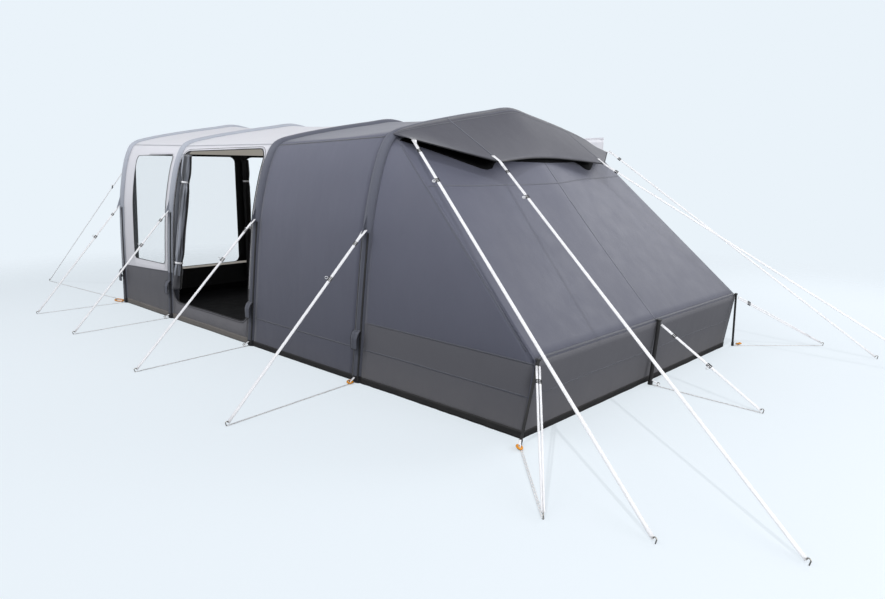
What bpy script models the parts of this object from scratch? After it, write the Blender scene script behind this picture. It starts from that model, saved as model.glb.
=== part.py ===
"""Inflatable four-beam drive-away awning for a van or caravan, as separate solids.

Frame: metres, +X towards the sloping bedroom end, -Y the side with the open door, +Y the vehicle's
side, +Z up. The origin is on the ground, under the middle of the groundsheet.
"""
import math

import bmesh
import bpy
from mathutils import Matrix, Vector

# Driving dimensions of the tent, in metres
HALF_WIDTH = 1.538
FRONT_X = -2.976
BEAM_B_X = -1.753
BEAM_C_X = -0.107
BEAM_D_X = 1.424
REAR_X = 2.980
RIDGE_HEIGHT = 2.100
BEAM_A_HEIGHT = RIDGE_HEIGHT + 0.052
BEAM_B_HEIGHT = RIDGE_HEIGHT + 0.008
BEAM_C_HEIGHT = RIDGE_HEIGHT - 0.023
BEAM_D_HEIGHT = RIDGE_HEIGHT
BEAM_A_LEAN = 0.030
BEAM_B_LEAN = 0.156
BEAM_C_LEAN = 0.250
BEAM_D_LEAN = 0.200
REAR_WALL_HEIGHT = 0.491
REAR_WALL_LEAN = 0.080
REAR_WALL_NARROWING = 0.011

# Fabric, air beams and clearances
BEAM_RADIUS = 0.055
SLEEVE_CLOTH = 0.002
TUBE_PLAY = 0.0008
TUBE_LIFT = 0.002
BLADDER_WALL = 0.0015
CLOTH = 0.002
FABRIC_INSET = 0.0252
SEAM_GAP = 0.0006
TOUCH_GAP = 0.0003
EDGE_GAP = 0.0009
BEND_GAP = 0.0016
CUT_OVERRUN = 0.30

# Half of an arch, foot to ridge: shares of the half width and of the arch's height
ARCH_SHARES = (
    (1.000, 0.000), (1.000, 0.030), (0.976, 0.540), (0.942, 0.710), (0.902, 0.815),
    (0.850, 0.875), (0.740, 0.905), (0.450, 0.948), (0.180, 0.981), (0.000, 1.000),
)
LEG_STATION = 1
SHOULDER_STATION = 5
RIDGE_STATION = len(ARCH_SHARES) - 1
LAST_STATION = 2 * RIDGE_STATION

ARCHES = {
    "a": (FRONT_X, BEAM_A_HEIGHT, BEAM_A_LEAN),
    "b": (BEAM_B_X, BEAM_B_HEIGHT, BEAM_B_LEAN),
    "c": (BEAM_C_X, BEAM_C_HEIGHT, BEAM_C_LEAN),
    "d": (BEAM_D_X, BEAM_D_HEIGHT, BEAM_D_LEAN),
}

# Groundsheet tray
TRAY_CLOTH = 0.003
TRAY_UPSTAND = 0.080

# Sag of the cloth between two beams, and of the rear slope and hood
ROOF_SAG = 0.030
SLOPE_SAG = 0.035
SLOPE_INSET = 0.045
BAY_COLUMNS = 3
SIDE_COLUMNS = 4
SIDE_TOP_CLEARANCE = 0.030

# Near window of bay 1, mirrored on the far side
WINDOW_SILL = 0.575
WINDOW_HEAD = RIDGE_HEIGHT - 0.370
WINDOW_FRONT_MARGIN = 0.290
WINDOW_REAR_MARGIN = 0.085
WINDOW_CORNER = 0.060
FILM_CLEARANCE = 0.0006

# Doorway in bay 2
DOOR_SILL = 0.200
DOOR_HEAD = RIDGE_HEIGHT - 0.340
DOOR_MARGIN = 0.030
DOOR_CORNER = 0.100

# Far doorway to the vehicle, in bay 2
PASSAGE_SILL = 0.090
PASSAGE_HEAD = RIDGE_HEIGHT - 0.400
PASSAGE_MARGIN = 0.150

# Front end wall: window on the near half, doorway on the far half
FRONT_WINDOW_NEAR_Y = 0.338 - HALF_WIDTH
FRONT_WINDOW_FAR_Y = 0.000
FRONT_WINDOW_SILL = 0.360
FRONT_OPENING_HEAD = RIDGE_HEIGHT - 0.360
FRONT_DOOR_NEAR_Y = 0.130
FRONT_DOOR_FAR_Y = HALF_WIDTH - 0.308
FRONT_DOOR_SILL = 0.120

# Rolled door panels
ROLL_RADIUS = 0.050
ROLL_END_CLEARANCE = 0.035
ROLL_LEAN = 0.036

# Hood over the rear slope: x, y and z of its outer corner, inner corner and middle
HOOD_OUTER = (BEAM_D_X + 0.418, HALF_WIDTH - 0.219, RIDGE_HEIGHT - 0.311)
HOOD_INNER = (BEAM_D_X + 0.707, HALF_WIDTH - 0.821, RIDGE_HEIGHT - 0.461)
HOOD_MIDDLE = (BEAM_D_X + 0.606, 0.000, RIDGE_HEIGHT - 0.419)
HOOD_SEAT_TURN = math.tau / 12

# Connection tunnel to the vehicle
TUNNEL_LENGTH = 1.462
VEHICLE_SIDE_Y = HALF_WIDTH + TUNNEL_LENGTH
VEHICLE_RAIL_HEIGHT = 1.970
TUNNEL_REAR_X = BEAM_C_X + 0.857
TUNNEL_FRONT_X = BEAM_B_X - 0.447
BEAD_STRIP_HEIGHT = 0.040
BEAD_STRIP_DEPTH = 0.006
TUNNEL_COLUMNS = 2
TUNNEL_ROOF_SHARES = (0.33, 0.67)

# Rear upstand poles
POLE_RADIUS = 0.010
MIDDLE_POLE_RADIUS = 0.016
POLE_FOOT_X = REAR_X + 0.060
POLE_FOOT_Y = HALF_WIDTH + 0.062
POLE_TOP_HEIGHT = REAR_WALL_HEIGHT + 0.012
POLE_GUY_HEIGHT = REAR_WALL_HEIGHT - 0.013
CAP_RIM = 0.004
CAP_THICKNESS = 0.008

# Air valves, caps and cover flaps at the near feet
VALVE_HEIGHT = 0.330
VALVE_RADIUS = 0.022
VALVE_DEPTH = 0.014
VALVE_ROOT = 0.030
VALVE_CLEARANCE = 0.0010
VALVE_CAP_RADIUS = 0.018
VALVE_CAP_DEPTH = 0.010
FLAP_TOP = 0.412
FLAP_HEIGHT = 0.140
FLAP_WIDTH = 0.078
FLAP_STANDOFF = 0.040
FLAP_CLOTH = 0.0015
FLAP_SEAT = FLAP_CLOTH + TOUCH_GAP

# A valve flap's section from its hinge: shares of how far it stands off and of its height
FLAP_SHARES = ((0.0, 0.0), (0.55, 0.12), (1.0, 0.40), (1.0, 1.0))

# Zip sliders
SLIDER_LENGTH = 0.028
SLIDER_WIDTH = 0.011
SLIDER_DEPTH = 0.008
SLIDER_BEVEL = 0.0015
DOOR_SLIDER_HEIGHT = 0.240
FRONT_SLIDER_HEIGHT = 0.180
SLIDER_MARGIN = 0.020

# Guy lines
GUY_RADIUS = 0.010
CORNER_GUY_RADIUS = 0.015
CORD_RADIUS = 0.002
GUY_TAB_HEIGHT = 1.160
FRONT_GUY_HEIGHT = RIDGE_HEIGHT - 0.480
GUY_END_CLEARANCE = 0.006
TAB_GAP = 0.0009
HOOD_TAB_GAP = 0.0031
RUNNER_DOWN = 0.450
RUNNER_LENGTH = 0.036
RUNNER_WALL = 0.004
RUNNER_PLAY = 0.0012

# Pegs of the guys, x and y on the ground
PEG_A_SIDE = (FRONT_X + 0.006, -HALF_WIDTH - 0.936)
PEG_A_FRONT = (FRONT_X - 2.354, -HALF_WIDTH - 0.138)
PEG_B = (BEAM_B_X + 0.064, -HALF_WIDTH - 0.972)
PEG_C = (BEAM_C_X + 0.092, -HALF_WIDTH - 1.050)
PEG_D = (BEAM_D_X + 0.122, -HALF_WIDTH - 1.110)
PEG_CORNER = (REAR_X + 0.652, HALF_WIDTH + 0.657)
PEG_HOOD_OUTER = (REAR_X + 1.118, HALF_WIDTH + 0.489)
PEG_HOOD_INNER = (REAR_X + 1.644, HALF_WIDTH + 0.198)
PEG_REAR_MIDDLE = (REAR_X + 0.884, -0.042)

# Sides of round pieces
BEAM_SIDES = 12
TUBE_SIDES = 8
BUTTON_SIDES = 12
RING_SIDES = 10

TENT_MIDDLE = Vector((0, 0, REAR_WALL_HEIGHT))

COLOURS = {
    "grey_fabric": ((0.60, 0.61, 0.66), 0.80, 0.0, 1.0),
    "dark_fabric": ((0.14, 0.14, 0.17), 0.80, 0.0, 1.0),
    "clear_film": ((0.75, 0.82, 0.88), 0.10, 0.0, 0.3),
    "groundsheet": ((0.03, 0.03, 0.03), 0.60, 0.0, 1.0),
    "bladder": ((0.50, 0.52, 0.55), 0.40, 0.0, 1.0),
    "webbing": ((0.86, 0.87, 0.90), 0.85, 0.0, 1.0),
    "black_plastic": ((0.02, 0.02, 0.02), 0.40, 0.0, 1.0),
    "black_pole": ((0.02, 0.02, 0.02), 0.45, 0.0, 1.0),
}


def material(name):
    """The Principled material of that finish, made once."""
    found = bpy.data.materials.get(name)
    if found:
        return found
    colour, roughness, metallic, alpha = COLOURS[name]
    made = bpy.data.materials.new(name)
    made.use_nodes = True
    shader = made.node_tree.nodes["Principled BSDF"]
    shader.inputs["Base Color"].default_value = (*colour, 1)
    shader.inputs["Roughness"].default_value = roughness
    shader.inputs["Metallic"].default_value = metallic
    shader.inputs["Alpha"].default_value = alpha
    return made


def keep(obj, finish, at=None):
    """Names the object's finish, puts it in the awning's collection and returns it."""
    obj.data.materials.append(material(finish))
    for old in obj.users_collection:
        old.objects.unlink(obj)
    AWNING.objects.link(obj)
    if at is not None:
        obj.location = at
    return obj


def mesh_object(name, bm):
    """An object from a bmesh, in no collection yet."""
    mesh = bpy.data.meshes.new(name)
    bm.to_mesh(mesh)
    bm.free()
    obj = bpy.data.objects.new(name, mesh)
    bpy.context.scene.collection.objects.link(obj)
    return obj


def outline(arch, inset):
    """The arch's outline from near foot to far foot as (y, z), moved inwards from the sleeve's outer edge."""
    height = ARCHES[arch][1]
    half = [(-y * HALF_WIDTH, z * height) for y, z in ARCH_SHARES]
    points = half + [(-y, z) for y, z in reversed(half[:-1])]
    moved = []
    for i, (y, z) in enumerate(points):
        before = points[max(i - 1, 0)]
        after = points[min(i + 1, LAST_STATION)]
        along = Vector((after[0] - before[0], after[1] - before[1])).normalized()
        moved.append((y + along.y * inset, max(z - along.x * inset, 0)))
    return moved


def arch_x(arch, z):
    """Where the leaning arch's plane is at a height."""
    foot_x, height, lean = ARCHES[arch]
    start = ARCH_SHARES[LEG_STATION][1] * height
    return foot_x + lean * max(z - start, 0) / (height - start)


def arch_points(arch, inset, shift=0):
    """The arch's stations in space, moved inwards by inset and square to its leaning plane by shift."""
    foot_x, height, lean = ARCHES[arch]
    square = Vector((height - ARCH_SHARES[LEG_STATION][1] * height, 0, -lean)).normalized() * shift
    points = [Vector((arch_x(arch, z), y, z)) + square for y, z in outline(arch, inset)]
    for foot in (points[0], points[-1]):
        foot.z = 0
    return points


def leg_point(arch, height, inset=0, side=-1):
    """A point on an arch's leg at a height, on the near side or on the far side."""
    points = arch_points(arch, inset)[:SHOULDER_STATION + 1]
    for low, high in zip(points, points[1:]):
        if low.z <= height <= high.z:
            found = low.lerp(high, (height - low.z) / (high.z - low.z))
            return Vector((found.x, -side * found.y, height))
    return points[-1]


PANEL_INSET = FABRIC_INSET + CLOTH
PANEL_DEPTH = BEAM_RADIUS - PANEL_INSET
PANEL_SIDE = math.sqrt((BEAM_RADIUS + SEAM_GAP) ** 2 - PANEL_DEPTH ** 2)
SLOPE_SIDE = math.sqrt((BEAM_RADIUS + SEAM_GAP) ** 2 - (BEAM_RADIUS - SLOPE_INSET) ** 2)


def face_out(obj, inside):
    """Turns an open sheet's faces so that they point away from a point inside the tent."""
    bm = bmesh.new()
    bm.from_mesh(obj.data)
    bm.normal_update()
    pull = sum(f.normal.dot(f.calc_center_median() - inside) * f.calc_area() for f in bm.faces)
    if pull < 0:
        bmesh.ops.reverse_faces(bm, faces=bm.faces)
    bm.to_mesh(obj.data)
    bm.free()


def cloth(name, finish, across, along, place, thickness=CLOTH, inside=TENT_MIDDLE, outwards=1):
    """A sheet of across by along cells, each corner put at place(i, j), thickened outwards or inwards."""
    bm = bmesh.new()
    bmesh.ops.create_grid(bm, x_segments=across, y_segments=along, size=1)
    for v in bm.verts:
        v.co = place(round((v.co.x + 1) * across / 2), round((v.co.y + 1) * along / 2))
    obj = keep(mesh_object(name, bm), finish)
    face_out(obj, inside)
    wall = obj.modifiers.new("cloth", "SOLIDIFY")
    wall.thickness = thickness
    wall.offset = outwards
    return obj


def tube(name, finish, points, radius, hollow=0, sides=TUBE_SIDES):
    """A round tube along points, capped, or open with a wall of that thickness."""
    curve = bpy.data.curves.new(name, "CURVE")
    curve.dimensions = "3D"
    spline = curve.splines.new("POLY")
    spline.points.add(len(points) - 1)
    for target, point in zip(spline.points, points):
        target.co = (*point, 1)
    curve.bevel_depth = radius
    curve.bevel_resolution = sides // 2 - 2
    curve.use_fill_caps = not hollow
    obj = bpy.data.objects.new(name, curve)
    bpy.context.scene.collection.objects.link(obj)
    keep(obj, finish)
    if hollow:
        wall = obj.modifiers.new("wall", "SOLIDIFY")
        wall.thickness = hollow
        wall.offset = -1
    return obj


def as_mesh(obj, merge=TOUCH_GAP / 3):
    """Makes a curve object a mesh object of the same name, with its caps welded."""
    bpy.context.view_layer.update()
    graph = bpy.context.evaluated_depsgraph_get()
    mesh = bpy.data.meshes.new_from_object(obj.evaluated_get(graph))
    name = obj.name
    matrix = obj.matrix_world.copy()
    bm = bmesh.new()
    bm.from_mesh(mesh)
    bmesh.ops.remove_doubles(bm, verts=bm.verts, dist=merge)
    bm.to_mesh(mesh)
    bm.free()
    bpy.data.objects.remove(obj)
    made = bpy.data.objects.new(name, mesh)
    made.matrix_world = matrix
    AWNING.objects.link(made)
    return made


def flat_panel(name, finish, corners, thickness, to_world):
    """A flat outline filled, given a thickness and put in place by to_world(y, z, off the plane)."""
    curve = bpy.data.curves.new(name, "CURVE")
    curve.dimensions = "2D"
    curve.fill_mode = "BOTH"
    curve.extrude = thickness / 2
    spline = curve.splines.new("POLY")
    spline.points.add(len(corners) - 1)
    spline.use_cyclic_u = True
    for target, (y, z) in zip(spline.points, corners):
        target.co = (y, z, 0, 1)
    obj = bpy.data.objects.new(name, curve)
    bpy.context.scene.collection.objects.link(obj)
    keep(obj, finish)
    obj = as_mesh(obj)
    for v in obj.data.vertices:
        v.co = to_world(*v.co)
    return obj


def opening(name, low, high, corner, from_y, to_y):
    """A cutter through a side wall. low and high are (left x, right x, z); its corners are rounded."""
    bm = bmesh.new()
    bmesh.ops.create_cube(bm, size=2)
    upright = [e for e in bm.edges if abs(e.verts[0].co.y - e.verts[1].co.y) > 1]
    for v in bm.verts:
        left, right, z = high if v.co.z > 0 else low
        v.co = (right if v.co.x > 0 else left, to_y if v.co.y > 0 else from_y, z)
    bmesh.ops.bevel(bm, geom=upright, offset=corner, segments=3, profile=0.5, affect="EDGES")
    return cutter(mesh_object(name, bm))


def end_opening(name, y_from, y_to, z_from, z_to, corner, x):
    """A cutter through an end wall, with rounded corners."""
    bm = bmesh.new()
    bmesh.ops.create_cube(bm, size=2)
    level = [e for e in bm.edges if abs(e.verts[0].co.x - e.verts[1].co.x) > 1]
    for v in bm.verts:
        v.co = (x + v.co.x * CUT_OVERRUN, y_to if v.co.y > 0 else y_from, z_to if v.co.z > 0 else z_from)
    bmesh.ops.bevel(bm, geom=level, offset=corner, segments=3, profile=0.5, affect="EDGES")
    return cutter(mesh_object(name, bm))


def cutter(obj):
    """Marks an object as a cutter, which the build leaves out."""
    obj.hide_render = True
    obj.display_type = "WIRE"
    for old in obj.users_collection:
        old.objects.unlink(obj)
    CUTTERS.objects.link(obj)
    return obj


def cut(obj, tool, operation="DIFFERENCE"):
    """Cuts obj with a cutter, or keeps only what lies within it."""
    made = obj.modifiers.new(tool.name, "BOOLEAN")
    made.object = tool
    made.operation = operation
    made.solver = "EXACT"
    return obj


def disc(name, radius, depth, sides=BUTTON_SIDES):
    """A short cylinder along Y about its own middle."""
    bm = bmesh.new()
    bmesh.ops.create_cone(bm, cap_ends=True, segments=sides, radius1=radius, radius2=radius, depth=depth)
    bmesh.ops.rotate(bm, verts=bm.verts, matrix=Matrix.Rotation(math.pi / 2, 3, "X"))
    return mesh_object(name, bm)


def block(name, size, bevel=0):
    """A box about its own middle, with small rounded edges if bevel is given."""
    bm = bmesh.new()
    bmesh.ops.create_cube(bm, size=1)
    bmesh.ops.scale(bm, vec=size, verts=bm.verts)
    obj = mesh_object(name, bm)
    if bevel:
        edge = obj.modifiers.new("edge", "BEVEL")
        edge.width = bevel
        edge.segments = 1
    return obj


def pipe(name, inner, wall, length):
    """An open ring along Z about its own middle."""
    bm = bmesh.new()
    bmesh.ops.create_cone(bm, cap_ends=False, segments=RING_SIDES, radius1=inner + wall,
                          radius2=inner + wall, depth=length)
    obj = mesh_object(name, bm)
    shell = obj.modifiers.new("wall", "SOLIDIFY")
    shell.thickness = wall
    shell.offset = -1
    return obj


def beams():
    """Four inflated tubes with a valve on the near leg, each in a sewn sleeve with a hole for it."""
    for arch in ARCHES:
        finish = "grey_fabric" if arch in "ab" else "dark_fabric"
        centre = arch_points(arch, BEAM_RADIUS)
        sleeve = as_mesh(tube("beam_sleeve_" + arch, finish, centre, BEAM_RADIUS, SLEEVE_CLOTH,
                              BEAM_SIDES))
        lifted = list(centre)
        for end in (0, -1):
            lifted[end] = centre[end] + Vector((0, 0, TUBE_LIFT))
        radius = BEAM_RADIUS - SLEEVE_CLOTH - TUBE_PLAY
        bladder = as_mesh(tube("air_tube_" + arch, "bladder", lifted, radius, BLADDER_WALL,
                               BEAM_SIDES))
        outside = leg_point(arch, VALVE_HEIGHT)
        reach = VALVE_DEPTH + BEAM_RADIUS - VALVE_ROOT
        middle = (outside.x, outside.y - VALVE_DEPTH + reach / 2, outside.z)
        stem = disc("stem_" + arch, VALVE_RADIUS, reach)
        stem.location = middle
        cut(bladder, cutter(stem), "UNION")
        hole = disc("valve_hole_" + arch, VALVE_RADIUS + VALVE_CLEARANCE, reach)
        hole.location = middle
        cut(sleeve, cutter(hole))


def bay_place(front, rear, first, last):
    """Where the corners of a panel between two arches go, from station first to station last."""
    left = arch_points(front, PANEL_INSET, PANEL_SIDE)
    right = arch_points(rear, PANEL_INSET, -PANEL_SIDE)

    def place(i, j):
        share = i / BAY_COLUMNS
        point = left[first + j].lerp(right[first + j], share)
        if j == 0 and first:
            point += (left[first + 1] - left[first]).normalized() * SEAM_GAP / 2
        if first + j == last and last < LAST_STATION:
            point += (left[last - 1] - left[last]).normalized() * SEAM_GAP / 2
        on_roof = SHOULDER_STATION < first + j < LAST_STATION - SHOULDER_STATION
        drop = ROOF_SAG * 4 * share * (1 - share) if on_roof else 0
        return point - Vector((0, 0, drop))
    return place


def bay_panel(name, finish, front, rear, first, last):
    """One sewn panel of a bay between two arches."""
    return cloth(name, finish, BAY_COLUMNS, last - first, bay_place(front, rear, first, last))


def side_edges(front, rear, front_margin, rear_margin, z):
    """The two x values of an opening between two leaning arches at a height."""
    return (arch_x(front, z) + PANEL_SIDE + front_margin, arch_x(rear, z) - PANEL_SIDE - rear_margin)


def side_cutter(name, front, rear, margins, sill, head, corner, side, shrink=0):
    """A cutter for an opening in a side wall, made smaller all round by shrink."""
    low = side_edges(front, rear, margins[0], margins[1], sill)
    high = side_edges(front, rear, margins[0], margins[1], head)
    near = side * (HALF_WIDTH - CUT_OVERRUN)
    far = side * (HALF_WIDTH + CUT_OVERRUN)
    return opening(name, (low[0] + shrink, low[1] - shrink, sill + shrink),
                   (high[0] + shrink, high[1] - shrink, head - shrink), corner,
                   min(near, far), max(near, far))


def walls_and_roof():
    """The near walls, and the fly sheets over the roof and down the far side, with their openings."""
    for number, front, rear in ((1, "a", "b"), (2, "b", "c"), (3, "c", "d")):
        finish = "dark_fabric" if number == 3 else "grey_fabric"
        wall = bay_panel(f"bay_{number}_near_wall", finish, front, rear, 0, SHOULDER_STATION)
        fly = bay_panel(f"bay_{number}_fly", finish, front, rear, SHOULDER_STATION, LAST_STATION)
        if number == 1:
            margins = (WINDOW_FRONT_MARGIN, WINDOW_REAR_MARGIN)
            cut(wall, side_cutter("window_cutter", front, rear, margins, WINDOW_SILL, WINDOW_HEAD,
                                  WINDOW_CORNER, -1))
            film = bay_panel("near_window", "clear_film", front, rear, 0, SHOULDER_STATION)
            cut(film, side_cutter("film_cutter", front, rear, margins, WINDOW_SILL, WINDOW_HEAD,
                                  WINDOW_CORNER, -1, FILM_CLEARANCE), "INTERSECT")
        if number == 2:
            cut(wall, side_cutter("door_cutter", front, rear, (DOOR_MARGIN, DOOR_MARGIN), DOOR_SILL,
                                  DOOR_HEAD, DOOR_CORNER, -1))
            cut(fly, side_cutter("passage_cutter", front, rear, (PASSAGE_MARGIN, PASSAGE_MARGIN),
                                 PASSAGE_SILL, PASSAGE_HEAD, DOOR_CORNER, 1))


def arch_plane(arch):
    """Puts a flat outline in an arch's leaning plane."""
    def to_world(y, z, off):
        return Vector((arch_x(arch, z) + off, y, z))
    return to_world


def front_wall():
    """The front end wall inside beam A, with its window, doorway and film."""
    corners = outline("a", 2 * BEAM_RADIUS + BEND_GAP)
    wall = flat_panel("front_wall", "grey_fabric", corners, CLOTH, arch_plane("a"))
    cut(wall, end_opening("front_window_cutter", FRONT_WINDOW_NEAR_Y, FRONT_WINDOW_FAR_Y,
                          FRONT_WINDOW_SILL, FRONT_OPENING_HEAD, WINDOW_CORNER, FRONT_X))
    cut(wall, end_opening("front_door_cutter", FRONT_DOOR_NEAR_Y, FRONT_DOOR_FAR_Y,
                          FRONT_DOOR_SILL, FRONT_OPENING_HEAD, DOOR_CORNER, FRONT_X))
    film = flat_panel("front_window", "clear_film", corners, CLOTH, arch_plane("a"))
    small = FILM_CLEARANCE
    tool = end_opening("front_film_cutter", FRONT_WINDOW_NEAR_Y + small, FRONT_WINDOW_FAR_Y - small,
                       FRONT_WINDOW_SILL + small, FRONT_OPENING_HEAD - small, WINDOW_CORNER, FRONT_X)
    cut(film, tool, "INTERSECT")


def groundsheet():
    """The sewn-in waterproof floor, a shallow tray between the beams' legs."""
    half = HALF_WIDTH - 2 * BEAM_RADIUS - BEND_GAP
    front = FRONT_X + CLOTH / 2 + SEAM_GAP
    rear = REAR_X - SEAM_GAP
    bm = bmesh.new()
    bmesh.ops.create_cube(bm, size=2)
    for v in bm.verts:
        v.co = (rear if v.co.x > 0 else front, half * v.co.y, TRAY_UPSTAND if v.co.z > 0 else 0)
    top = [f for f in bm.faces if f.normal.z > 0.5]
    bmesh.ops.delete(bm, geom=top, context="FACES_ONLY")
    obj = keep(mesh_object("groundsheet", bm), "groundsheet")
    wall = obj.modifiers.new("sheet", "SOLIDIFY")
    wall.thickness = TRAY_CLOTH
    wall.offset = -1
    wall.use_even_offset = True


def rear_edge(z, side):
    """The outer rear edge of a side wall: up the low wall, then along the slope to beam D's shoulder."""
    foot = Vector((REAR_X, side * (HALF_WIDTH - PANEL_INSET), 0))
    knee = Vector((REAR_X + REAR_WALL_LEAN, side * (HALF_WIDTH - PANEL_INSET - REAR_WALL_NARROWING),
                   REAR_WALL_HEIGHT))
    if z <= REAR_WALL_HEIGHT:
        return foot.lerp(knee, z / REAR_WALL_HEIGHT)
    top = slope_top()[0]
    return knee.lerp(Vector((top.x, -side * top.y, top.z)), (z - REAR_WALL_HEIGHT) / (top.z - REAR_WALL_HEIGHT))


def slope_top():
    """The stations of beam D's rear side over which the rear slope is sewn."""
    stations = arch_points("d", SLOPE_INSET, SLOPE_SIDE)
    return stations[SHOULDER_STATION:LAST_STATION - SHOULDER_STATION + 1]


def side_heights():
    """Heights of the rear side wall's rows: half the low wall, all of it, beam D's stations, the top."""
    stations = [point.z for point in arch_points("d", PANEL_INSET)[LEG_STATION + 1:SHOULDER_STATION]]
    top = slope_top()[0].z - SIDE_TOP_CLEARANCE
    return [0, REAR_WALL_HEIGHT / 2, REAR_WALL_HEIGHT] + stations + [top]


def rear_end():
    """Both rear side walls, the long rear slope and the low upright rear wall."""
    heights = side_heights()
    for side, word in ((-1, "near"), (1, "far")):
        def place(i, j, side=side):
            z = heights[j]
            start = leg_point("d", z, PANEL_INSET, side) + Vector((PANEL_SIDE, 0, 0))
            point = start.lerp(rear_edge(z, side), i / SIDE_COLUMNS)
            return Vector((point.x, point.y, z))
        cloth(f"rear_{word}_side", "dark_fabric", SIDE_COLUMNS, len(heights) - 1, place,
              inside=Vector((BEAM_D_X, 0, REAR_WALL_HEIGHT)))
    top = slope_top()
    columns = len(top) - 1
    half_low = HALF_WIDTH - PANEL_INSET - REAR_WALL_NARROWING - EDGE_GAP
    half_high = abs(top[0].y)
    low_x = REAR_X + REAR_WALL_LEAN
    rows = SIDE_COLUMNS

    def slope(i, j):
        start = Vector((top[i].x, top[i].y * (1 - EDGE_GAP / half_high), top[i].z))
        end = Vector((low_x, top[i].y * half_low / half_high, REAR_WALL_HEIGHT))
        share = j / rows * (1 - EDGE_GAP / (end - start).length)
        hang = SLOPE_SAG * 4 * share * (1 - share) * (1 - (top[i].y / half_high) ** 2)
        return start.lerp(end, share) - Vector((0, 0, hang))
    cloth("rear_slope", "dark_fabric", columns, rows, slope)

    def low_wall(i, j):
        half = HALF_WIDTH - PANEL_INSET - REAR_WALL_NARROWING * j - EDGE_GAP
        y = half * (2 * i / columns - 1)
        return Vector((REAR_X + REAR_WALL_LEAN * j, y, (REAR_WALL_HEIGHT - EDGE_GAP) * j))
    cloth("rear_low_wall", "dark_fabric", columns, 1, low_wall)


def hood_edge():
    """The hood's free edge, one point for each station of beam D from shoulder to shoulder."""
    outer, inner, middle = Vector(HOOD_OUTER), Vector(HOOD_INNER), Vector(HOOD_MIDDLE)
    half = [outer, outer.lerp(inner, 0.5), inner, inner.lerp(middle, 0.6), middle]
    near = [Vector((p.x, -p.y, p.z)) for p in half]
    return near + list(reversed(half[:-1]))


def rear_hood():
    """The hood that shades the head of the rear slope and is held out by four guys."""
    rise = (BEAM_RADIUS + TOUCH_GAP) * math.cos(HOOD_SEAT_TURN)
    back = (BEAM_RADIUS + TOUCH_GAP) * math.sin(HOOD_SEAT_TURN)
    stations = arch_points("d", BEAM_RADIUS - rise, back)
    top = stations[SHOULDER_STATION:LAST_STATION - SHOULDER_STATION + 1]
    edge = hood_edge()
    cloth("rear_hood", "dark_fabric", len(top) - 1, 2, lambda i, j: top[i].lerp(edge[i], j / 2))


def rolled_doors():
    """The near door rolled up beside beam B, and the front door rolled up beside its doorway."""
    across = PANEL_SIDE + DOOR_MARGIN + ROLL_RADIUS + SEAM_GAP
    low = leg_point("b", DOOR_SILL + DOOR_CORNER + ROLL_END_CLEARANCE, PANEL_INSET)
    high = leg_point("b", DOOR_HEAD - ROLL_END_CLEARANCE, PANEL_INSET)
    low.x += across
    high.x += across + ROLL_LEAN
    tube("near_door_roll", "grey_fabric", [low, high], ROLL_RADIUS)
    inside = CLOTH / 2 + ROLL_RADIUS + SEAM_GAP
    y = FRONT_DOOR_NEAR_Y - ROLL_RADIUS / 2
    ends = (FRONT_DOOR_SILL + ROLL_END_CLEARANCE, FRONT_OPENING_HEAD - ROLL_END_CLEARANCE)
    tube("front_door_roll", "grey_fabric", [Vector((arch_x("a", z) + inside, y, z)) for z in ends],
         ROLL_RADIUS)


def tunnel():
    """The connection tunnel from bay 2 to the vehicle, one sewn shell, and its flat bead strip."""
    shoulder = LAST_STATION - SHOULDER_STATION
    rear = list(reversed(arch_points("c", -SEAM_GAP)[shoulder:]))
    front = arch_points("b", -SEAM_GAP)[shoulder:]
    ridge = [rear[-1].lerp(front[0], share) for share in TUNNEL_ROOF_SHARES]
    at_tent = rear + ridge + front
    at_vehicle = []
    for number, point in enumerate(at_tent):
        share = min(max(number - len(rear) + 1, 0) / (len(ridge) + 1), 1)
        x = TUNNEL_REAR_X + (TUNNEL_FRONT_X - TUNNEL_REAR_X) * share
        at_vehicle.append(Vector((x, VEHICLE_SIDE_Y, point.z * VEHICLE_RAIL_HEIGHT / ridge[0].z)))
    for low in (0, -1):
        at_vehicle[low].z = 0
    middle = Vector(((BEAM_B_X + BEAM_C_X) / 2, (HALF_WIDTH + VEHICLE_SIDE_Y) / 2, REAR_WALL_HEIGHT))
    cloth("connection_tunnel", "grey_fabric", TUNNEL_COLUMNS, len(at_tent) - 1,
          lambda i, j: at_tent[j].lerp(at_vehicle[j], i / TUNNEL_COLUMNS), inside=middle)
    strip = block("vehicle_bead_strip", (TUNNEL_REAR_X - TUNNEL_FRONT_X, BEAD_STRIP_DEPTH, BEAD_STRIP_HEIGHT))
    keep(strip, "grey_fabric", ((TUNNEL_REAR_X + TUNNEL_FRONT_X) / 2,
                                VEHICLE_SIDE_Y + SEAM_GAP + BEAD_STRIP_DEPTH / 2, VEHICLE_RAIL_HEIGHT))


POLES = {"near": (-1, POLE_RADIUS), "middle": (0, MIDDLE_POLE_RADIUS), "far": (1, POLE_RADIUS)}


def pole_point(word, height):
    """A point on a rear pole's axis, which leans against the low wall's upper edge."""
    side, radius = POLES[word]
    foot = Vector((POLE_FOOT_X, side * POLE_FOOT_Y, radius))
    wall_half = HALF_WIDTH - PANEL_INSET - REAR_WALL_NARROWING
    seat = Vector((REAR_X + REAR_WALL_LEAN + CLOTH + radius + SEAM_GAP, side * (wall_half - radius),
                   REAR_WALL_HEIGHT))
    return foot.lerp(seat, (height - radius) / (REAR_WALL_HEIGHT - radius))


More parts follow.
